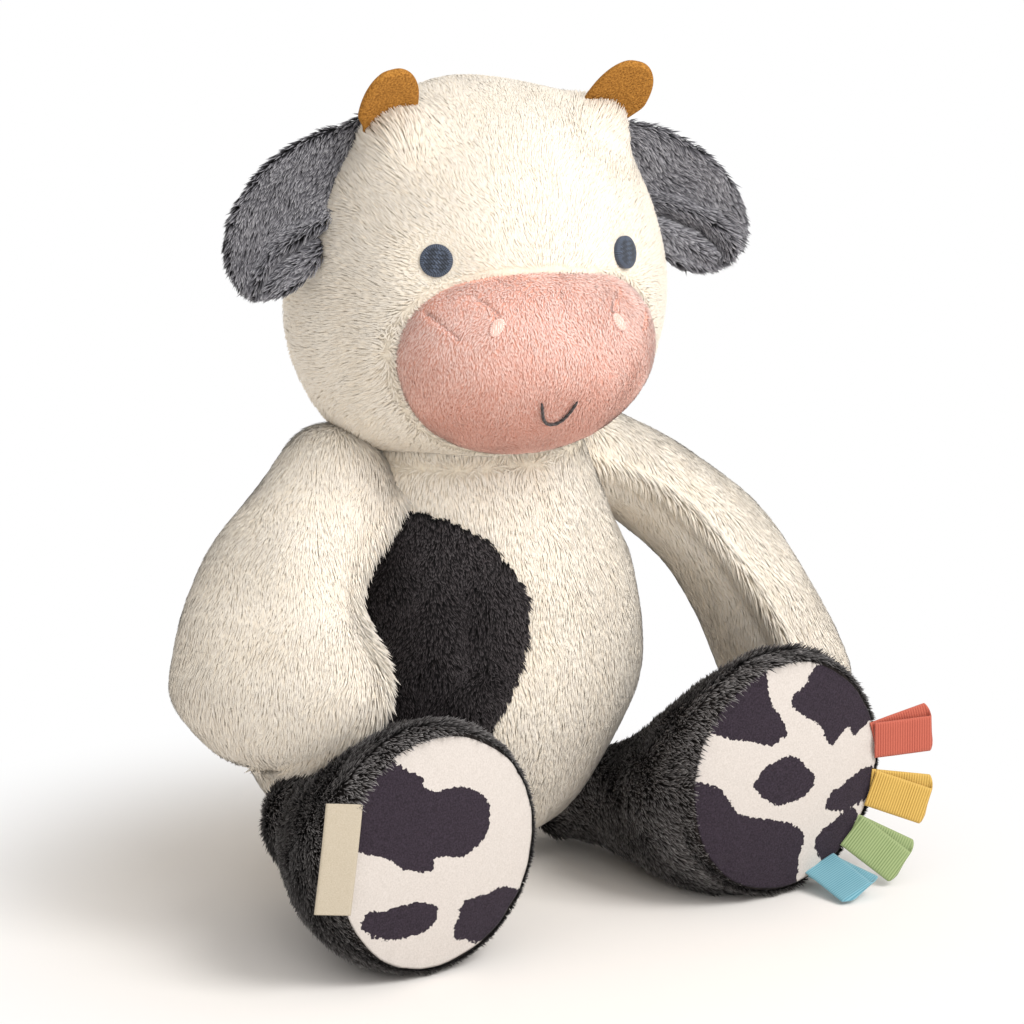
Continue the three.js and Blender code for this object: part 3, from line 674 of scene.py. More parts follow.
def add_node(tree, kind, inputs=(), **settings):
    """A new shader node with its settings, and each of its inputs linked or set to a value."""
    node = tree.nodes.new("ShaderNode" + kind)
    for name, value in settings.items():
        setattr(node, name, value)
    for name, value in dict(inputs).items():
        plug(tree, node.inputs[name], value)
    return node


def plug(tree, socket, value):
    """Links a socket to another, or sets it to a value."""
    if isinstance(value, bpy.types.NodeSocket):
        tree.links.new(value, socket)
    else:
        socket.default_value = value


def new_material(name, roughness, sheen=0.0, specular=0.3):
    """A material's node tree with its shader."""
    material = bpy.data.materials.new(name)
    material.use_nodes = True
    tree = material.node_tree
    shader = tree.nodes["Principled BSDF"]
    shader.inputs["Roughness"].default_value = roughness
    shader.inputs["Specular IOR Level"].default_value = specular
    shader.inputs["Sheen Weight"].default_value = sheen
    shader.inputs["Sheen Roughness"].default_value = 0.5
    return material, tree, shader


def ramp(tree, factor, stops):
    """A colour ramp through (position, RRGGBB) stops."""
    node = add_node(tree, "ValToRGB", {"Fac": factor})
    while len(node.color_ramp.elements) < len(stops):
        node.color_ramp.elements.new(0.5)
    for element, (position, code) in zip(node.color_ramp.elements, stops):
        element.position = position
        element.color = paint(code)
    return node.outputs["Color"]


def blended(tree, kind, factor, a, b):
    """Two colours put together; each of the three is a value or a socket."""
    inputs = {0: factor, 6: a, 7: b}
    return add_node(tree, "Mix", inputs, data_type="RGBA", blend_type=kind).outputs[2]


def grain(tree, scale, detail=2):
    """Noise that sits on the object itself, with so many waves to the metre."""
    place = add_node(tree, "TexCoord").outputs["Object"]
    inputs = {"Vector": place, "Scale": scale, "Detail": detail}
    return add_node(tree, "TexNoise", inputs).outputs["Fac"]


def raised(tree, shader, height, strength, distance):
    """Gives a shader its bumps."""
    relief = add_node(tree, "Bump", {"Height": height, "Strength": strength, "Distance": distance})
    plug(tree, shader.inputs["Normal"], relief.outputs["Normal"])


def marked(tree, name):
    """A mesh's own mark, as a number."""
    return add_node(tree, "Attribute", attribute_name=name).outputs["Fac"]


def fur_material(name, along, across, sheen=0.0):
    """Pile: one ramp runs from root to tip, and the other tints each hair."""
    material, tree, shader = new_material(name, 0.75, sheen, 0.2)
    uv = add_node(tree, "UVMap", uv_map="OFBake").outputs["UV"]
    split = add_node(tree, "SeparateXYZ", {"Vector": uv}).outputs
    colours = ramp(tree, split["Y"], along), ramp(tree, split["X"], across)
    plug(tree, shader.inputs["Base Color"], blended(tree, "MULTIPLY", 1.0, *colours))
    return material


def cloth_material(name, light, dark, size, roughness=0.9, bump=0.3):
    """Plain cloth: two tints mixed by fine noise of a size in mm, which also gives its bump."""
    material, tree, shader = new_material(name, roughness, 0.0, 0.2)
    noise = grain(tree, 1 / (size * MM), 3)
    plug(tree, shader.inputs["Base Color"], ramp(tree, noise, [(0.3, dark), (0.7, light)]))
    raised(tree, shader, noise, bump, size * MM * 0.5)
    return material


def thread_material(name, low, high, roughness=0.55):
    """Thread or ribbon: the mark named thread is 0 in the gaps and 1 on the threads' tops. Its low
    colour in the gaps is painted shade.
    """
    material, tree, shader = new_material(name, roughness, 0.2, 0.35)
    colour = ramp(tree, marked(tree, "thread"), [(0.1, low), (0.9, high)])
    plug(tree, shader.inputs["Base Color"], colour)
    return material


# The cream pile's darker roots are painted shade in the gaps between the hairs.
cream_pile = fur_material(
    "cream_pile",
    [(0.0, "eee1cc"), (0.5, "f7efe2"), (1.0, "fcf7ef")],
    [(0.0, "f6f0e7"), (0.5, "fcfaf6"), (1.0, "ffffff")],
    sheen=0.1,
)
charcoal_pile = fur_material(
    "charcoal_pile",
    [(0.35, "2c2a2a"), (0.65, "7b7878"), (1.0, "dddbdb")],
    [(0.0, "6a6868"), (0.5, "bab8b8"), (1.0, "ffffff")],
)
patch_pile = fur_material(
    "patch_pile",
    [(0.45, "0a0809"), (0.7, "2b2729"), (1.0, "8b8688")],
    [(0.0, "5c585a"), (0.5, "b8b4b6"), (1.0, "ffffff")],
)
gray_pile = fur_material(
    "gray_pile",
    [(0.35, "29292c"), (0.65, "85848a"), (1.0, "ececf0")],
    [(0.0, "6a6a6e"), (0.5, "bdbdc0"), (1.0, "ffffff")],
)
# Through its second ramp the muzzle's hairs carry a painted highlight towards the top and painted
# shade low down.
pink_pile = fur_material(
    "pink_pile",
    [(0.0, "f2b3a2"), (0.5, "fad0c5"), (1.0, "ffefea")],
    [(0.0, "e4c4b9"), (0.5, "f6e6e0"), (1.0, "ffffff")],
    sheen=0.1,
)
cream_cloth = cloth_material("cream_cloth", "f4ebdb", "eadfcb", 1.2)
charcoal_cloth = cloth_material("charcoal_cloth", "2b2624", "1d1918", 1.2)
black_cloth = cloth_material("black_cloth", "1c1a1b", "121011", 1.2)
gray_cloth = cloth_material("gray_cloth", "323236", "222225", 1.2)
pink_cloth = cloth_material("pink_cloth", "f6bba8", "efab97", 0.7)
mustard_felt = cloth_material("mustard_felt", "c48a3f", "7f521e", 0.8, 0.95, 0.8)
label_cotton = cloth_material("label_cotton", "c1b7a6", "b5aa96", 0.5, 0.9, 0.25)
# Each thread's low colour below is painted shade in the gaps between its threads.
eye_thread = thread_material("eye_thread", "10151d", "59657a")
nostril_thread = thread_material("nostril_thread", "e6b3a4", "f8e0d8")
mouth_thread = thread_material("mouth_thread", "1f1b1b", "4a4444")
RIBBON_COLOURS = {
    "coral": ("983c2f", "c06450"),
    "mustard": ("9c7426", "d4b05c"),
    "green": ("687c47", "9aab79"),
    "teal": ("46869a", "80b1bf"),
}
ribbon_weave = {
    name: thread_material(f"ribbon_{name}", *colours, 0.7)
    for name, colours in RIBBON_COLOURS.items()
}
RAGGED = {"waves": 620, "by": 3.2, "from": 1.45, "to": 1.75}  # a blotch's edge: noise by so many mm


def sole_material():
    """White plush with blotches where the mark named print is positive, with ragged edges."""
    material, tree, shader = new_material("sole_plush", 0.9, 0.05, 0.2)
    noise = grain(tree, RAGGED["waves"])
    ragged = {0: noise, 1: RAGGED["by"], 2: marked(tree, "print")}
    ragged = add_node(tree, "Math", ragged, operation="MULTIPLY_ADD").outputs[0]
    limits = {"Value": ragged, "From Min": RAGGED["from"], "From Max": RAGGED["to"]}
    inside = add_node(tree, "MapRange", limits, interpolation_type="SMOOTHSTEP").outputs["Result"]
    fine = grain(tree, 1500)
    white = ramp(tree, fine, [(0.3, "c3bcb6"), (0.7, "d1cac5")])
    plum = ramp(tree, fine, [(0.3, "221b23"), (0.7, "382f3a")])
    plug(tree, shader.inputs["Base Color"], blended(tree, "MIX", inside, white, plum))
    raised(tree, shader, fine, 0.25, 0.0004)
    return material


sole_plush = sole_material()


# Where fur grows, and which way it lies

# How far the cloth lies below the fur's outline
PILE_DEPTH, LEG_PILE_DEPTH, MUZZLE_PILE_DEPTH, EAR_PILE_DEPTH = 1.6, 2.2, 1.2, 1
HIDDEN = 6  # how far within the body fur stops
HEAD_WHORL = np.array([0, -75, -8])  # what the head's fur runs away from, in its own frame
FUR_LIE = {  # the hairs' size, how steep they stand, their lumps, and how unevenly they lie
    "head": {"length": 5.5, "lift": (0.17, 0.06), "wander": 0.18, "ruffle": 0.5},
    "muzzle": {
        "length": 2.2, "width": 0.42, "lift": (0.6, 0.25), "gather": (1.2, 0.2), "wander": 0.35,
    },
    "body": {"length": 5.5, "width": 0.62, "lift": (0.18, 0.07), "wander": 0.18, "ruffle": 0.5},
    "patch": {"length": 5, "lift": (1.2, 0.6), "gather": (1.6, 0.6), "wander": 0.6, "ruffle": 1.5},
    "arm": {"length": 5.5, "lift": (0.2, 0.07), "wander": 0.18, "ruffle": 0.5},
    "leg": {"length": 6.5, "lift": (0.7, 0.32), "gather": (2.0, 0.6), "ruffle": 1.5},
    "ear": {"length": 5.5, "width": 0.62, "lift": (0.75, 0.35), "gather": (2.0, 0.65)},
}


def hidden(points):
    """Whether points lie well within the body, where no fur is seen."""
    z = points[:, 2]
    half, height = body_profile(np.linspace(0, 1, 200))
    at = np.interp(z, height, half) - HIDDEN
    y = points[:, 1] + z * BODY["lean"]
    return (np.hypot(points[:, 0], y / BODY["depth_share"]) < at) & (z < BODY["height"])


def closed_curve(outline, steps):
    """A closed Catmull-Rom curve, with that many steps from one point to the next."""
    points = np.array(outline, float)
    count = len(points)
    t = np.arange(count * steps) / steps
    i = t.astype(int)
    w = (t - i)[:, None]
    before, a, b, after = (points[(i + k) % count] for k in (-1, 0, 1, 2))
    cubic = 2 * before - 5 * a + 4 * b - after + w * (3 * (a - b) + after - before)
    return a + 0.5 * w * (b - before + w * cubic)


def outline_distance(outline, x, y):
    """Signed distance from the smooth closed line through the outline's points, positive inside."""
    corners = closed_curve(outline, 6)
    distance = np.full(len(x), 1e9)
    inside = np.zeros(len(x), bool)
    for (ax, ay), (bx, by) in zip(corners, np.roll(corners, -1, axis=0)):
        length = max((bx - ax) ** 2 + (by - ay) ** 2, 1e-9)
        share = np.clip(((x - ax) * (bx - ax) + (y - ay) * (by - ay)) / length, 0, 1)
        away = np.hypot(x - ax - share * (bx - ax), y - ay - share * (by - ay))
        distance = np.minimum(distance, away)
        if by != ay:
            crossing = ax + (y - ay) * (bx - ax) / (by - ay)
            inside ^= ((ay > y) != (by > y)) & (x < crossing)
    return np.where(inside, distance, -distance)


def patch_distance(points):
    """How far inside the tummy patch's outline points lie, in mm, seen square on."""
    cos, sin = math.cos(PATCH_FACING), math.sin(PATCH_FACING)
    across = points[:, 0] * cos + points[:, 1] * sin
    ahead = points[:, 0] * sin - points[:, 1] * cos
    return np.where(ahead > 0, outline_distance(PATCH_OUTLINE, across, points[:, 2]), -99.0)


def patch_form(u, v, grow=0.0):
    """The patch's cloth: its outline shrunk to its middle by shares, laid on the body's front by
    solving A cos a + B sin a = C for the angle a at each height. v runs over its back, its rim and
    its front."""
    outline = closed_curve(PATCH_OUTLINE, 12)
    place = np.mod(u, 1) * len(outline)
    i = place.astype(int) % len(outline)
    edge = mix(outline[i], outline[(i + 1) % len(outline)], (place - np.floor(place))[:, None])
    middle = outline.mean(axis=0)
    share = np.sin(np.pi * np.clip(v, 0.01, 0.99))[:, None]
    across, z = (middle + (edge - middle) * share).T
    layer = grow - PILE_DEPTH + 0.5 * np.sign(v - 0.5) * np.minimum(1, 8 * np.abs(v - 0.5))
    half, height = body_profile(np.linspace(SEAT_SHARE, 1, 300))
    half = np.interp(z, height, half) + layer
    a, b = half * math.cos(PATCH_FACING), half * BODY["depth_share"] * math.sin(PATCH_FACING)
    c = across + z * BODY["lean"] * math.sin(PATCH_FACING)
    angle = np.arctan2(b, a) - np.arccos(np.clip(c / np.hypot(a, b), -1, 1))
    return body_ring(half, angle, z)


def muzzle_depth(local):
    """How deep points of the head's frame lie in the muzzle: 1 on its skin, and more outside it."""
    return egg_depth(MUZZLE, receded(local - muzzle_offset, -1))


def eye_distance(local):
    """How far points of the head's frame are from the nearer eye."""
    away = [np.linalg.norm(local - eye_middle(sign), axis=-1) for sign in SIDES.values()]
    return np.minimum(*away)


def near_muzzle(local):
    """0.7 at the muzzle's edge, falling to 0 a few millimetres outside it."""
    return 0.7 * (1 - smooth((muzzle_depth(local) - 1) / 0.12))


def face_comb(points, normals):
    """Head fur: it runs away from its whorl on the muzzle, hangs more and more below the chin, and
    folds a little over the muzzle's edge."""
    away = unit(to_head(points) - HEAD_WHORL) @ head_turn.T
    low = smooth((BODY["height"] + 40 - points[:, 2]) / 40)
    spread = away + DOWN * mix(0.1, 0.9, low)[:, None]
    return mix(spread, -away, near_muzzle(to_head(points))[:, None])


def down_comb(points, normals):
    """Fur that hangs straight down."""
    return np.broadcast_to(DOWN, points.shape)


def body_comb(points, normals):
    """Body fur hangs down, but turns up into the crease under the head."""
    up = smooth((points[:, 2] - BODY["height"] + 9) / 6)
    return UP * mix(-1.0, 1.0, up)[:, None] + 0.3 * normals * np.array([1, 1, 0])


def head_keep(points):
    """Head fur grows outside the muzzle and the eyes, and above the neck."""
    local = to_head(points)
    bare = (muzzle_depth(local) <= 1.0) | (eye_distance(local) <= EYE["radius"])
    return ~bare & (points[:, 2] > BODY["height"] - 4)


def head_reach(points):
    """Short by the eyes and the muzzle, fuller on the cheeks."""
    local = to_head(points)
    by_muzzle = np.clip((muzzle_depth(local) - 0.9) / 0.2, 0.55, 1)
    by_eyes = mix(0.35, 1.0, smooth((eye_distance(local) - EYE["radius"]) / 12))
    cheeks = mix(0.8, 1.15, smooth((np.abs(local[:, 0]) - 25) / 35))
    return np.minimum(by_muzzle, by_eyes) * (1 + near_horn(local)) * cheeks


def head_stand(points):
    """The fur lies flat on the forehead, is fuller on the cheeks and stands up round the horns."""
    local = to_head(points)
    side = smooth((np.abs(local[:, 0]) - 20) / 45)
    low = smooth((-local[:, 2] - 40) / 25)
    return mix(0.6, 1.25, side) + 5 * near_horn(local) + 0.6 * low + 3 * near_muzzle(local)


def body_behind(points):
    """How far points lie behind the body's leaning middle."""
    return points[:, 1] + points[:, 2] * BODY["lean"]


def fur_halves(name, behind, seed):
    """A fur's front and back piece: each one's name, hairs, seed and half of the form."""
    return (
        (f"{name}_front", HAIRS, seed, lambda points: behind(points) < 0),
        (f"{name}_back", BACK_HAIRS, seed + 1, lambda points: behind(points) >= 0),
    )


# The pieces


def make_head():
    form = partial(head_form, grow=-PILE_DEPTH)
    cloth = mesh_piece("head_cloth", *skin_arrays(form, 70, 96, (0.06, 1.0)), cream_cloth)
    dress(cloth, "head", ["head_skin", "head_stuffing"])
    for name, count, seed, half in fur_halves("head_fur", lambda p: to_head(p)[:, 1], 11):
        fur = pile(
            name, form, cream_pile, count, face_comb, seed, **FUR_LIE["head"],
            keep=lambda p: head_keep(p) * half(p), reach=head_reach, stand=head_stand,
        )
        dress(fur, "head")


def make_muzzle():
    form = partial(muzzle_form, grow=-MUZZLE_PILE_DEPTH)
    cloth = mesh_piece("muzzle_cloth", *skin_arrays(form, 120, 180), pink_cloth)
    dress(cloth, "head", ["muzzle_skin", "muzzle_stuffing"])

    def keep(points):
        local = to_head(points)
        return (egg_depth(HEAD, local) > 0.97) * smooth(dart_distance(local - muzzle_offset))

    # Painted light: each hair's shade rises towards the muzzle's top and falls towards its chin, a
    # painted highlight above and painted shade below.
    def painted_light(points):
        return np.clip((to_head(points)[:, 2] + MUZZLE["below"]) / 45, -0.5, 0.4)

    lie = FUR_LIE["muzzle"]
    fur = pile("muzzle_fur", form, pink_pile, 32000, down_comb, 21, **lie, keep=keep, painted_light=painted_light)
    dress(fur, "head")


def make_body():
    form = partial(body_form, grow=-PILE_DEPTH)
    cloth = mesh_piece("body_cloth", *skin_arrays(form, 80, 110), cream_cloth)
    dress(cloth, "root", ["body_skin", "body_stuffing", "seat_bean_bag"])
    for name, count, seed, half in fur_halves("body_fur", body_behind, 31):
        fur = pile(
            name, form, cream_pile, count, body_comb, seed, **FUR_LIE["body"],
            keep=lambda p: half(p) * (patch_distance(p) < 0.5) * (p[:, 2] > 1),
            reach=lambda p: mix(0.45, 1.0, smooth(-patch_distance(p) / 8)),
        )
        dress(fur, "root")
    cloth = mesh_piece("tummy_patch_cloth", *skin_arrays(patch_form, 60, 120), black_cloth)
    dress(cloth, "root", ["tummy_patch"])
    patch = pile(
        "tummy_patch_fur", form, patch_pile, 34000, down_comb, 41, **FUR_LIE["patch"],
        keep=lambda p: patch_distance(p) > -0.3,
    )
    dress(patch, "root")


SEAM_FUR = {"from": 0.16, "to": 0.85, "reach": 3.5, "down": 0.7, "longer": 0.7, "steeper": 4}


def near_arm_seam(side, points):
    """1 along the seam that faces the tummy, falling away smoothly to either side of it."""
    _, middle, _, across, over = arm_line(side, np.linspace(SEAM_FUR["from"], SEAM_FUR["to"], 60))
    nearest = np.argmin(np.linalg.norm(points[:, None] - middle, axis=-1), axis=1)
    away = points - middle[nearest]
    off = np.einsum("ij,ij->i", away, over[nearest])
    return hump(off, SEAM_FUR["reach"]) * (np.einsum("ij,ij->i", away, across[nearest]) > 0)


def make_arm(side):
    form = partial(arm_form, side, grow=-PILE_DEPTH)
    cloth = mesh_piece(f"arm_cloth_{side}", *skin_arrays(form, 70, 72), cream_cloth)
    dress(cloth, f"arm_{side}", [f"arm_skin_{side}", f"arm_stuffing_{side}"])
    _, bend, hand = np.array(ARM_LINE[side], float)
    seam = partial(near_arm_seam, side)
    fur = pile(
        f"arm_fur_{side}", form, cream_pile, 44000,
        lambda p, n: unit(hand - bend) + SEAM_FUR["down"] * DOWN * seam(p)[:, None],
        52 + SIDES[side], **FUR_LIE["arm"], keep=lambda p: ~hidden(p),
        reach=lambda p: 1 + SEAM_FUR["longer"] * seam(p),
        stand=lambda p: 1 + SEAM_FUR["steeper"] * seam(p),
    )
    dress(fur, f"arm_{side}")


def seam_covers(side):
    """What lies on a leg's fur by its seam: its frame, half its width and how far back it lies."""
    if side == "right":
        return [(seam_place(side, LABEL["angle"], LABEL["lean"], 0.5), LABEL["width"] / 2 - 1, 7)]
    half = RIBBON["width"] / 2
    return [(seam_place(side, *place, 1), half, 6) for place in RIBBON_PLACE.values()]


LEG_FOLD = np.array([-0.6, 0, 0.8])  # the way to the side of the rim on which the fur folds over it


def make_leg(side):
    form = partial(leg_form, side, grow=-LEG_PILE_DEPTH)
    cloth = mesh_piece(f"leg_cloth_{side}", *skin_arrays(form, 60, 80), charcoal_cloth)
    dress(cloth, f"leg_{side}", [f"leg_skin_{side}", f"leg_stuffing_{side}"])
    sole = np.array(LEG_PLACE[side]["sole"], float)
    covers = seam_covers(side)

    def near_sole(points, behind, over):
        """0 up to so far behind the sole, and rising to 1 over the next so many millimetres."""
        return smooth((sole[1] + behind - points[:, 1]) / over)

    def folded(points):
        return smooth(unit(points - sole) @ LEG_FOLD)

    def comb(points, normals):
        inwards = unit((sole - points) * np.array([1, 0, 1]))
        past = near_sole(points, 14, 12)[:, None]
        return AHEAD + past * mix(0.25, 0.8, folded(points)[:, None]) * inwards

    def keep(points):
        keep = ~hidden(points) & (points[:, 1] > sole[1] + 0.15)
        for (origin, *ways), half_width, deep in covers:
            across, outwards, above = ((points - origin) @ way for way in ways)
            keep &= (np.abs(across) >= half_width) | (np.abs(outwards) >= 9) | (above <= -deep)
        return keep

    def reach(points):
        last = mix(1.0, mix(0.45, 1.0, folded(points)), near_sole(points, 6, 5))
        return mix(1.0, 0.8, near_sole(points, 16, 12)) * last

    fur = pile(
        f"leg_fur_{side}", form, charcoal_pile, 40000, comb, 62 + SIDES[side], **FUR_LIE["leg"],
        keep=keep, reach=reach,
    )
    dress(fur, f"leg_{side}")


def make_ear(side):
    form = partial(ear_form, side, grow=-EAR_PILE_DEPTH)
    cloth = mesh_piece(f"ear_cloth_{side}", *skin_arrays(form, 40, 48, (0.0, 0.995)), gray_cloth)
    dress(cloth, f"ear_{side}", [f"ear_front_{side}", f"ear_back_{side}"])
    droop = unit(np.array([SIDES[side] * 0.9, -0.2, -1.0])) @ head_turn.T
    front = ear_line(side, np.array([0.5]))[3][0] @ head_turn.T

    def lit(normals):
        """The fold's walls shade as if they faced the front more than they do."""
        return unit(normals + 1.2 * front * smooth((normals @ front + 0.8) / 0.6)[:, None])

    fur = pile(
        f"ear_fur_{side}", form, gray_pile, 19000, lambda p, n: np.broadcast_to(droop, p.shape),
        72 + SIDES[side], **FUR_LIE["ear"], lit=lit,
    )
    dress(fur, f"ear_{side}")


# Stitched pads: an oval of satin stitches within a stitched border


def pad_frame(form, x, z, step=0.5):
    """An egg's front point over (x, z), with the ways across, up and out of it."""

    def at(dx, dz):
        return egg_front(form, np.array(float(x + dx)), np.array(float(z + dz)))

    out = unit(np.cross(at(step, 0) - at(-step, 0), at(0, step) - at(0, -step)))
    up = unit(UP - out * out[2])
    return at(0, 0), np.cross(up, out), up, out


STITCH = {"pitch": 0.9, "length": 2.6, "height": 0.25, "offset": 0.37}
PAD = {"rings": 44, "points": 130, "crown": 0.7, "border": 0.8, "border_thread": 0.75, "rise": 0.2}


def stitched_pad(name, place, half, slant, stitch_angle, levels, material, to_world):
    """A domed oval of height top - crown r^4, with ridges |sin| of a stitch apart, slanting within
    and radial in the border. Each row's stitches start a little further on and differ in height.
    levels are the pad's foot and its top, from the form's own skin."""
    middle, across, up, out = place
    u, v = round_grid(PAD["rings"], PAD["points"])
    r = np.sin(np.pi * np.clip(v, 0.001, 0.999))
    a = 2 * np.pi * u
    x, y = half[0] * r * np.cos(a), half[1] * r * np.sin(a)
    turn, lay = math.radians(slant), math.radians(stitch_angle)
    x, y = x * math.cos(turn) - y * math.sin(turn), x * math.sin(turn) + y * math.cos(turn)
    row = (x * math.cos(lay) + y * math.sin(lay)) / STITCH["pitch"]
    along = (y * math.cos(lay) - x * math.sin(lay)) / STITCH["length"]
    along = along + STITCH["offset"] * np.floor(row)
    uneven = 0.7 + 0.3 * np.sin(127.1 * np.floor(row) + 311.7 * np.floor(along))
    inner = uneven * np.abs(np.sin(np.pi * row)) * np.abs(np.sin(np.pi * along)) ** 0.4
    around = round(np.pi * sum(half) / STITCH["pitch"] / 2)
    border = r > PAD["border"]
    thread = np.where(border, np.abs(np.sin(around * a)) * PAD["border_thread"], inner)
    foot, top = levels
    height = top - PAD["crown"] * (r**4) + STITCH["height"] * thread
    height = np.where(v > 0.5, height + PAD["rise"] * border * (1 - r), foot)
    grid = middle + across * x[:, None] + up * y[:, None] + out * height[:, None]
    hubs = [middle + out * foot, middle + out * (top + 0.05)]
    vertices, faces = closed_skin(grid, PAD["points"], hubs)
    marks = {"thread": np.concatenate([thread, HUB_THREAD])}
    return mesh_piece(name, to_world(vertices), faces, material, marks=marks)


def make_face():
    for side, sign in SIDES.items():
        eye = stitched_pad(
            f"eye_stitches_{side}", pad_frame(HEAD, sign * EYE["side"], EYE["above"]),
            (EYE["radius"], EYE["radius"]), 0, 50, (-5.5, -1.8), eye_thread, from_head,
        )
        dress(eye, "head", [f"eye_{side}"])
        nostril = stitched_pad(
            f"nostril_stitches_{side}", pad_frame(MUZZLE, sign * NOSTRIL["side"], NOSTRIL["above"]),
            NOSTRIL["half"], sign * NOSTRIL["slant"], 0, (-1.6, 0.5), nostril_thread, from_muzzle,
        )
        dress(nostril, "head", [f"nostril_{side}"])


def make_mouth():
    """A two-ply thread along the U z = -below - height (1 - |s|^round), x = s width / 2 of the
    muzzle's front."""
    rings, points = 90, 14
    share = np.linspace(-1, 1, rings)
    x = MOUTH["width"] / 2 * share
    z = -MOUTH["below"] - MOUTH["height"] * (1 - np.abs(share) ** MOUTH["round"])
    line = egg_front(MUZZLE, x, z)
    out = unit(line / np.array(MUZZLE["half"]) ** 2)
    line = receded(line + out * MOUTH["proud"])
    side = unit(np.cross(out, unit(np.gradient(line, axis=0))))
    a = 2 * np.pi * np.arange(points) / points
    ply = np.abs(np.cos(a[None] - path_length(line)[:, None] * 2 * np.pi / MOUTH["twist"]))
    end = np.sqrt(np.clip(1 - np.abs(share) ** 24, 0.05, 1))[:, None]
    radius = MOUTH["thread"] / 2 * (0.78 + 0.24 * ply) * end
    aside = side[:, None] * (radius * np.cos(a))[..., None]
    above = out[:, None] * (radius * np.sin(a))[..., None]
    grid = (line[:, None] + aside + above).reshape(-1, 3)
    vertices, faces = closed_skin(grid, points, [line[0], line[-1]])
    marks = {"thread": np.concatenate([ply.ravel(), HUB_THREAD])}
    thread = mesh_piece("mouth_thread", from_muzzle(vertices), faces, mouth_thread, marks=marks)
    dress(thread, "head", ["mouth_stitch"])


# Horns


def horn_form(side, u, v):
    """A felt tongue: half its width is w (1 - s^tip)^(1 / tip), with s from 0 near its foot to 1 at
    its tip, and its section is a rounded-off rectangle. Its outer foot is cut back in a curve."""
    half, sign = HORN["width"] / 2, SIDES[side]
    y = mix(-HORN["root"], HORN["height"], np.sin(np.pi / 2 * v))
    share = np.clip((y - HORN["straight"]) / (HORN["height"] - HORN["straight"]), 0, 1)
    wide = half * np.maximum(1 - share ** HORN["tip"], 1e-4) ** (1 / HORN["tip"])
    a = 2 * np.pi * u
    across, above = (np.sign(s) * np.abs(s) ** HORN["section"] for s in (np.cos(a), np.sin(a)))
    x = wide * across
    outer = np.clip(sign * x / half, 0, 1)
    x = x * (1 - HORN["cut"] * outer * smooth((HORN["cut_height"] - y) / HORN["cut_height"]))
    thick = HORN["thickness"] / 2 * np.minimum(1, (wide / 5) ** 0.5)
    z = thick * above + HORN["bend"] * (x / half) ** 2 - HORN["bend"] / 2
    turn = turned("y", sign * HORN_LEAN) @ turned("x", 90 + HORN_PITCH)
    return from_head(np.stack([x, y, z], axis=-1) @ turn.T + horn_feet()[side])


def make_horn(side):
    form = partial(horn_form, side)
    felt = mesh_piece(f"horn_felt_{side}", *skin_arrays(form, 50, 72), mustard_felt)
    dress(felt, "head", [f"horn_{side}"])


# Soles


PRINT = {
    "right": [
        [(-23, 39), (-9, 33), (-8, 29), (-3, 26), (3, 26), (11, 25), (18, 22), (23, 17), (24, 13),
         (22, 4), (15, -1), (10, -3), (2, -1), (-4, -1), (-5, -5), (-11, -5), (-19, -2), (-23, 1),
         (-28, 4), (-36, 7), (-44, 11), (-43, 20), (-37, 31), (-31, 38)],
        [(-34, -17), (-28, -18), (-20, -17), (-12, -17), (-5, -19), (-2, -22), (-3, -27),
         (-8, -30), (-20, -31), (-28, -28), (-33, -24), (-35, -21)],
        [(13, -21), (22, -21), (32, -20), (40, -24), (34, -32), (28, -37), (19, -38), (13, -37),
         (7, -36), (7, -31), (9, -28), (9, -24)],
    ],
    "left": [
        [(-9, 44), (-10, 35), (-5, 26), (-2, 19), (-5, 17), (-10, 15), (-18, 18), (-36, 24),
         (-31, 33), (-25, 39), (-15, 44)],
        [(12, 39), (21, 40), (34, 37), (44, 26), (46, 17), (40, 13), (34, 11), (31, 15), (26, 12),
         (21, 9), (18, 13), (15, 19), (6, 25), (1, 30), (3, 34), (9, 36)],
        [(-17, 3), (-11, 8), (0, 9), (6, 5), (12, -2), (9, -8), (1, -10), (-7, -10), (-15, -5),
         (-19, 0)],
        [(-48, 8), (-37, 3), (-31, -3), (-26, -10), (-15, -14), (0, -19), (8, -26), (6, -34),
         (5, -47), (-11, -50), (-31, -48), (-46, -39), (-52, -24), (-55, -13), (-54, -1)],
        [(42, -4), (27, -9), (21, -11), (19, -17), (29, -20), (36, -18), (44, -14)],
        [(35, -20), (21, -24), (16, -27), (14, -32), (19, -37), (30, -33)],
    ],
}
SOLE_SKIN = {"rings": 84, "points": 160, "back": 0.25, "seam": 0.75, "tucks": 23}


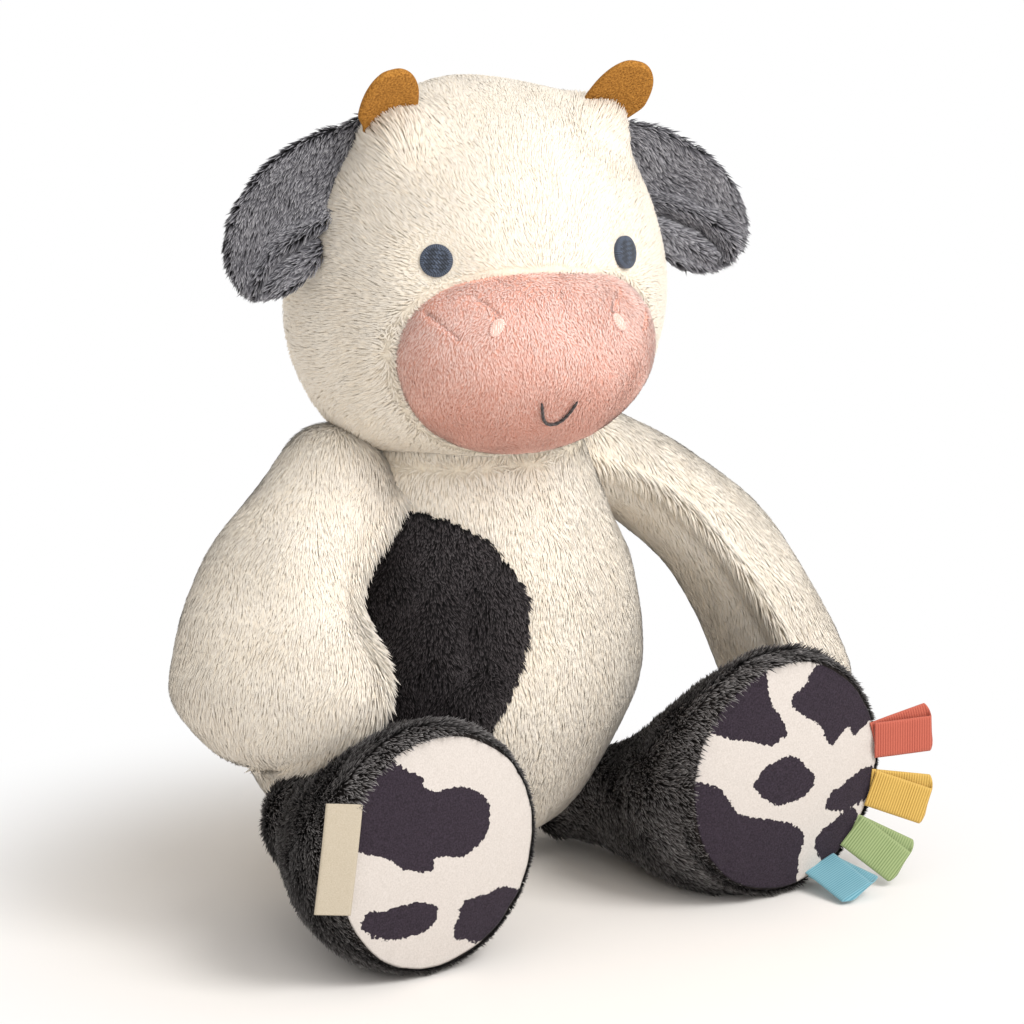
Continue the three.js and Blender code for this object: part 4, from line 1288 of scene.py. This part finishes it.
def make_sole(side):
    """A crowned disc: z = crown (1 - r^2) + proud at its front, with small tucks where the seam
    draws it in, and a slightly wavy outline. In its UVs the back and the front lie side by side."""
    sign, back, seam = SIDES[side], SOLE_SKIN["back"], SOLE_SKIN["seam"]
    u, v = round_grid(SOLE_SKIN["rings"], SOLE_SKIN["points"])
    r = np.clip(np.where(v < back, v / back, (1 - v) / (1 - back)), 0.002, 1)
    a = 2 * np.pi * u
    waves = 0.006 * np.sin(3 * a + 1.2) + 0.005 * np.sin(5 * a + sign) + 0.003 * np.sin(11 * a)
    x, y = (half * r * (1 + r * waves) for half in SOLE["half"])
    x, y = x * np.cos(a), y * np.sin(a)
    drawn_in = 1 - 0.07 * smooth((r - seam) / (1 - seam))
    tucks = np.sin(SOLE_SKIN["tucks"] * a + 1.5 * np.sin(3 * a))
    tucks = tucks * (0.6 + 0.4 * np.sin(5 * a + sign))
    front = SOLE["crown"] * (1 - r**2) + SOLE["proud"]
    relief = -0.3 * smooth((r - 0.72) / 0.28) * (1 + tucks)
    z = np.where(v < back, front - SOLE["thickness"], front + relief)
    grid = np.stack([x, -z, y], axis=-1) + np.array(LEG_PLACE[side]["sole"])
    vertices, faces = closed_skin(grid, SOLE_SKIN["points"])
    x, y = (np.concatenate([way * drawn_in, [0, 0]]) for way in (x, y))
    blotches = np.max([outline_distance(outline, x, y) for outline in PRINT[side]], axis=0)
    share = np.concatenate([r, [0, 0]]) * 0.24
    around = np.concatenate([a, [0, 0]])
    aside = np.concatenate([np.where(v < back, 0.75, 0.25), [0.75, 0.25]])
    uv = np.stack([aside + share * np.cos(around), 0.5 + share * np.sin(around)], axis=-1)
    sole = mesh_piece(
        f"sole_cloth_{side}", vertices, faces, sole_plush, uv[faces.ravel()], {"print": blotches}
    )
    dress(sole, f"leg_{side}", [f"sole_{side}"])


# Ribbons and label, sewn into the soles' seams


RIBBON = {
    "width": 15, "length": 25, "thickness": 0.8, "loop": 0.8, "edge": 0.9, "fan": 6.3,
    "rib": 1.05, "steps": 190,
}
RIBBON_PLACE = {"coral": (8, 18), "mustard": (-17, 28), "green": (-41, 42), "teal": (-66, 76)}
LABEL = {
    "width": 44, "length": 15, "thickness": 0.8, "angle": 172, "lean": -18, "over": 7,
    "bow": 0.5, "steps": 90,
}
FIT, FUR = 0.3, 2.6  # the gap between sewn pieces, and the thickness of fur cloth in the seam


def seam_place(side, angle, lean, half_thickness):
    """The seam's root point there, and the ways along it, outwards and to the front."""
    a, tip = math.radians(angle), math.radians(lean)
    radial, out = np.array([math.cos(a), 0, math.sin(a)]), np.array([0, -1.0, 0])
    reach = 1 / math.hypot(math.cos(a) / RIM[0], math.sin(a) / RIM[1])
    y = radial * math.cos(tip) + out * math.sin(tip)
    x = unit(np.cross(radial, out))
    inwards = FUR / 2 + half_thickness * math.sin(tip) if lean > 0 else -FIT
    root = np.array(LEG_PLACE[side]["sole"]) + radial * (reach - inwards)
    return root + out * (FIT + half_thickness * math.cos(tip)), x, y, np.cross(x, y)


STRIP_POINTS = 16  # the points across each face of a strip


def strip(name, line, across, over, half_width, half_thick, material, place):
    """A closed strip about a line: its section is a rectangle with round edges, and half_thick, a
    function of the distance along and the share across, gives its ribs. place is its frame."""
    share = np.concatenate([np.linspace(-1, 1, STRIP_POINTS), np.linspace(1, -1, STRIP_POINTS)])
    face = np.repeat([1.0, -1.0], STRIP_POINTS)
    thick, thread = half_thick(path_length(line)[:, None], share[None])
    thick = thick * np.sqrt(np.clip(1 - np.abs(share) ** 16, 0.06, 1))
    aside = across[:, None] * (half_width * share)[None, :, None]
    grid = (line[:, None] + aside + over[:, None] * (thick * face)[..., None]).reshape(-1, 3)
    vertices, faces = closed_skin(grid, 2 * STRIP_POINTS, [line[0], line[-1]])
    origin, x, y, z = place
    vertices = origin + vertices[:, :1] * x + vertices[:, 1:2] * y + vertices[:, 2:] * z
    marks = {"thread": np.concatenate([np.broadcast_to(thread, thick.shape).ravel(), HUB_THREAD])}
    return mesh_piece(name, vertices, faces, material, marks=marks)


def grosgrain(length, share):
    """Ribs across the ribbon, between two plain edges: half the thickness, and the thread mark."""
    rib = np.abs(np.sin(np.pi * length / RIBBON["rib"]))
    thread = np.where(np.abs(share) > 0.93, 0.75, rib)
    return RIBBON["thickness"] / 2 * (0.72 + 0.28 * thread), thread


def plain(length, share):
    """Even cotton: half the thickness everywhere, and a middling thread mark."""
    return LABEL["thickness"] / 2 + 0 * length * share, 0.5


def make_ribbon(colour):
    """A strip folded back on itself; its two layers swing fan degrees to either side of it."""
    angle, lean = RIBBON_PLACE[colour]
    outside = RIBBON["loop"] / 2 + RIBBON["edge"]
    bow = outside - RIBBON["thickness"] / 2
    straight = RIBBON["length"] - outside
    total = 2 * straight + np.pi * bow
    along = np.linspace(0, 1, RIBBON["steps"]) * total
    turn = np.clip((along - straight) / bow, 0, np.pi)
    y = np.where(turn < np.pi, straight + bow * np.sin(turn), total - along)
    y = np.where(along < straight, along, y)
    swing = -np.cos(turn) * math.tan(math.radians(RIBBON["fan"]))
    z = -bow * np.cos(turn) * mix(0.75, 1.0, np.clip(y / 8, 0, 1))
    line = np.stack([np.maximum(y, 0) * swing, y, z], axis=-1)
    heading = unit(np.gradient(line, axis=0) * np.array([0, 1, 1]))
    over = np.stack([0 * along, -heading[:, 2], heading[:, 1]], axis=-1)
    slope = np.cos(turn) * math.radians(RIBBON["fan"])
    across = np.stack([np.cos(slope), np.sin(slope), 0 * along], axis=-1)
    ribbon = strip(
        f"grosgrain_{colour}", line, across, over, RIBBON["width"] / 2, grosgrain,
        ribbon_weave[colour], seam_place("left", angle, lean, outside),
    )
    dress(ribbon, f"tag_{colour}", [f"ribbon_{colour}"])


def make_label():
    """A bare cotton label, which bows away from the leg."""
    t = np.linspace(-1, 1, LABEL["steps"])
    middle = 0 * t + LABEL["length"] / 2 - LABEL["over"]
    line = np.stack([t * LABEL["width"] / 2, middle, LABEL["bow"] * (1 - t**2)], axis=-1)
    across, over = (np.broadcast_to(way, line.shape) for way in (-AHEAD, UP))
    label = strip(
        "side_label_cotton", line, across, over, LABEL["length"] / 2, plain, label_cotton,
        seam_place("right", LABEL["angle"], LABEL["lean"], 0.5),
    )
    dress(label, "tag_label", ["side_label"])


make_head()
make_muzzle()
make_face()
make_mouth()
make_body()
for each_side in SIDES:
    for make in (make_arm, make_leg, make_sole, make_ear, make_horn):
        make(each_side)
for each_colour in RIBBON_PLACE:
    make_ribbon(each_colour)
make_label()


# Floor, light and camera

AIM = np.array([27.1, -28.3, 145.4]) * MM
CAMERA_TURN, CAMERA_RISE, CAMERA_DISTANCE = -38, 16, 3.5


def camera_ways():
    """Unit vectors from the cow towards the camera, to the picture's right and up it."""
    turn, rise = math.radians(CAMERA_TURN), math.radians(CAMERA_RISE)
    level = math.cos(rise)
    back = np.array([math.sin(turn) * level, -math.cos(turn) * level, math.sin(rise)])
    right = np.array([math.cos(turn), math.sin(turn), 0])
    return back, right, np.cross(back, right)


def place_looking(thing, point, way):
    """Puts a camera or lamp at a point given in metres, with its back to a way."""
    thing.location = Vector(point)
    thing.rotation_mode = "QUATERNION"
    thing.rotation_quaternion = Vector(-way).to_track_quat("-Z", "Y")
    bpy.context.scene.collection.objects.link(thing)


def make_camera():
    back, _, _ = camera_ways()
    camera = bpy.data.objects.new("camera", bpy.data.cameras.new("camera"))
    camera.data.sensor_width, camera.data.lens, camera.data.clip_end = 36, 307.6, 50
    place_looking(camera, AIM + back * CAMERA_DISTANCE, back)
    bpy.context.scene.camera = camera


def make_lamp(name, towards, distance, size, watts, colour):
    """A square lamp that looks at the cow. towards holds its steps right, back and up of it."""
    back, right, _ = camera_ways()
    way = unit(right * towards[0] + back * towards[1] + UP * towards[2])
    data = bpy.data.lights.new(name, "AREA")
    data.size, data.energy, data.color = size, watts, colour
    place_looking(bpy.data.objects.new(name, data), AIM + way * distance, way)


def show_white(tree, output, white, shader, operation, *factors):
    """Puts white in place of a shader by a factor that the Math node makes of two."""
    seen = add_node(tree, "Math", dict(enumerate(factors)), operation=operation).outputs[0]
    both = add_node(tree, "MixShader", {0: seen, 1: shader.outputs[0], 2: white.outputs[0]})
    plug(tree, tree.nodes[output].inputs["Surface"], both.outputs[0])


def make_world(strength, colour):
    """Even light, and white where the camera and the gloss see past the floor."""
    world = bpy.data.worlds.new("studio")
    bpy.context.scene.world = world
    world.use_nodes = True
    tree = world.node_tree
    light = tree.nodes["Background"]
    light.inputs["Color"].default_value = colour
    light.inputs["Strength"].default_value = strength
    white = add_node(tree, "Background", {"Color": paint("ffffff")})
    path = add_node(tree, "LightPath").outputs
    rays = path["Is Camera Ray"], path["Is Glossy Ray"]
    show_white(tree, "World Output", white, light, "MAXIMUM", *rays)


FLOOR_FADE = {"middle": (-0.03, -0.07, 0), "from": 0.13, "to": 0.275}  # in metres


def make_floor():
    """A wide pale disc, which the camera sees fade to white away from the cow."""
    rings, points, radius = 24, 72, 6000.0
    u, v = round_grid(rings, points, (1 / rings, 1))
    distance, a = radius * v**2, 2 * np.pi * u
    disc = np.stack([distance * np.cos(a), distance * np.sin(a), 0 * a], axis=-1)
    material, tree, shader = new_material("floor", 0.95, specular=0.0)
    shader.inputs["Base Color"].default_value = paint("f2efec")
    place = add_node(tree, "TexCoord").outputs["Object"]
    away = add_node(tree, "VectorMath", {0: place, 1: FLOOR_FADE["middle"]}, operation="DISTANCE")
    away = away.outputs["Value"]
    limits = {"Value": away, "From Min": FLOOR_FADE["from"], "From Max": FLOOR_FADE["to"]}
    fade = add_node(tree, "MapRange", limits, interpolation_type="SMOOTHSTEP").outputs["Result"]
    seen = add_node(tree, "LightPath").outputs["Is Camera Ray"]
    white = add_node(tree, "Emission", {"Color": paint("ffffff")})
    show_white(tree, "Material Output", white, shader, "MULTIPLY", fade, seen)
    faces = ring_faces(rings, points)[:-points, ::-1]
    mesh_piece("floor", np.concatenate([disc, np.zeros((1, 3))]), faces, material)


bpy.context.scene.view_settings.view_transform = "Standard"
make_camera()
make_lamp("key", (1.0, 0.78, 0.95), 3.2, 1.5, 69, (1.0, 0.985, 0.965))
make_lamp("fill", (0.4, 1.0, 0.35), 2.2, 1.5, 8, (1.0, 0.985, 0.97))
make_world(0.71, (1.0, 0.972, 0.938, 1))
make_floor()
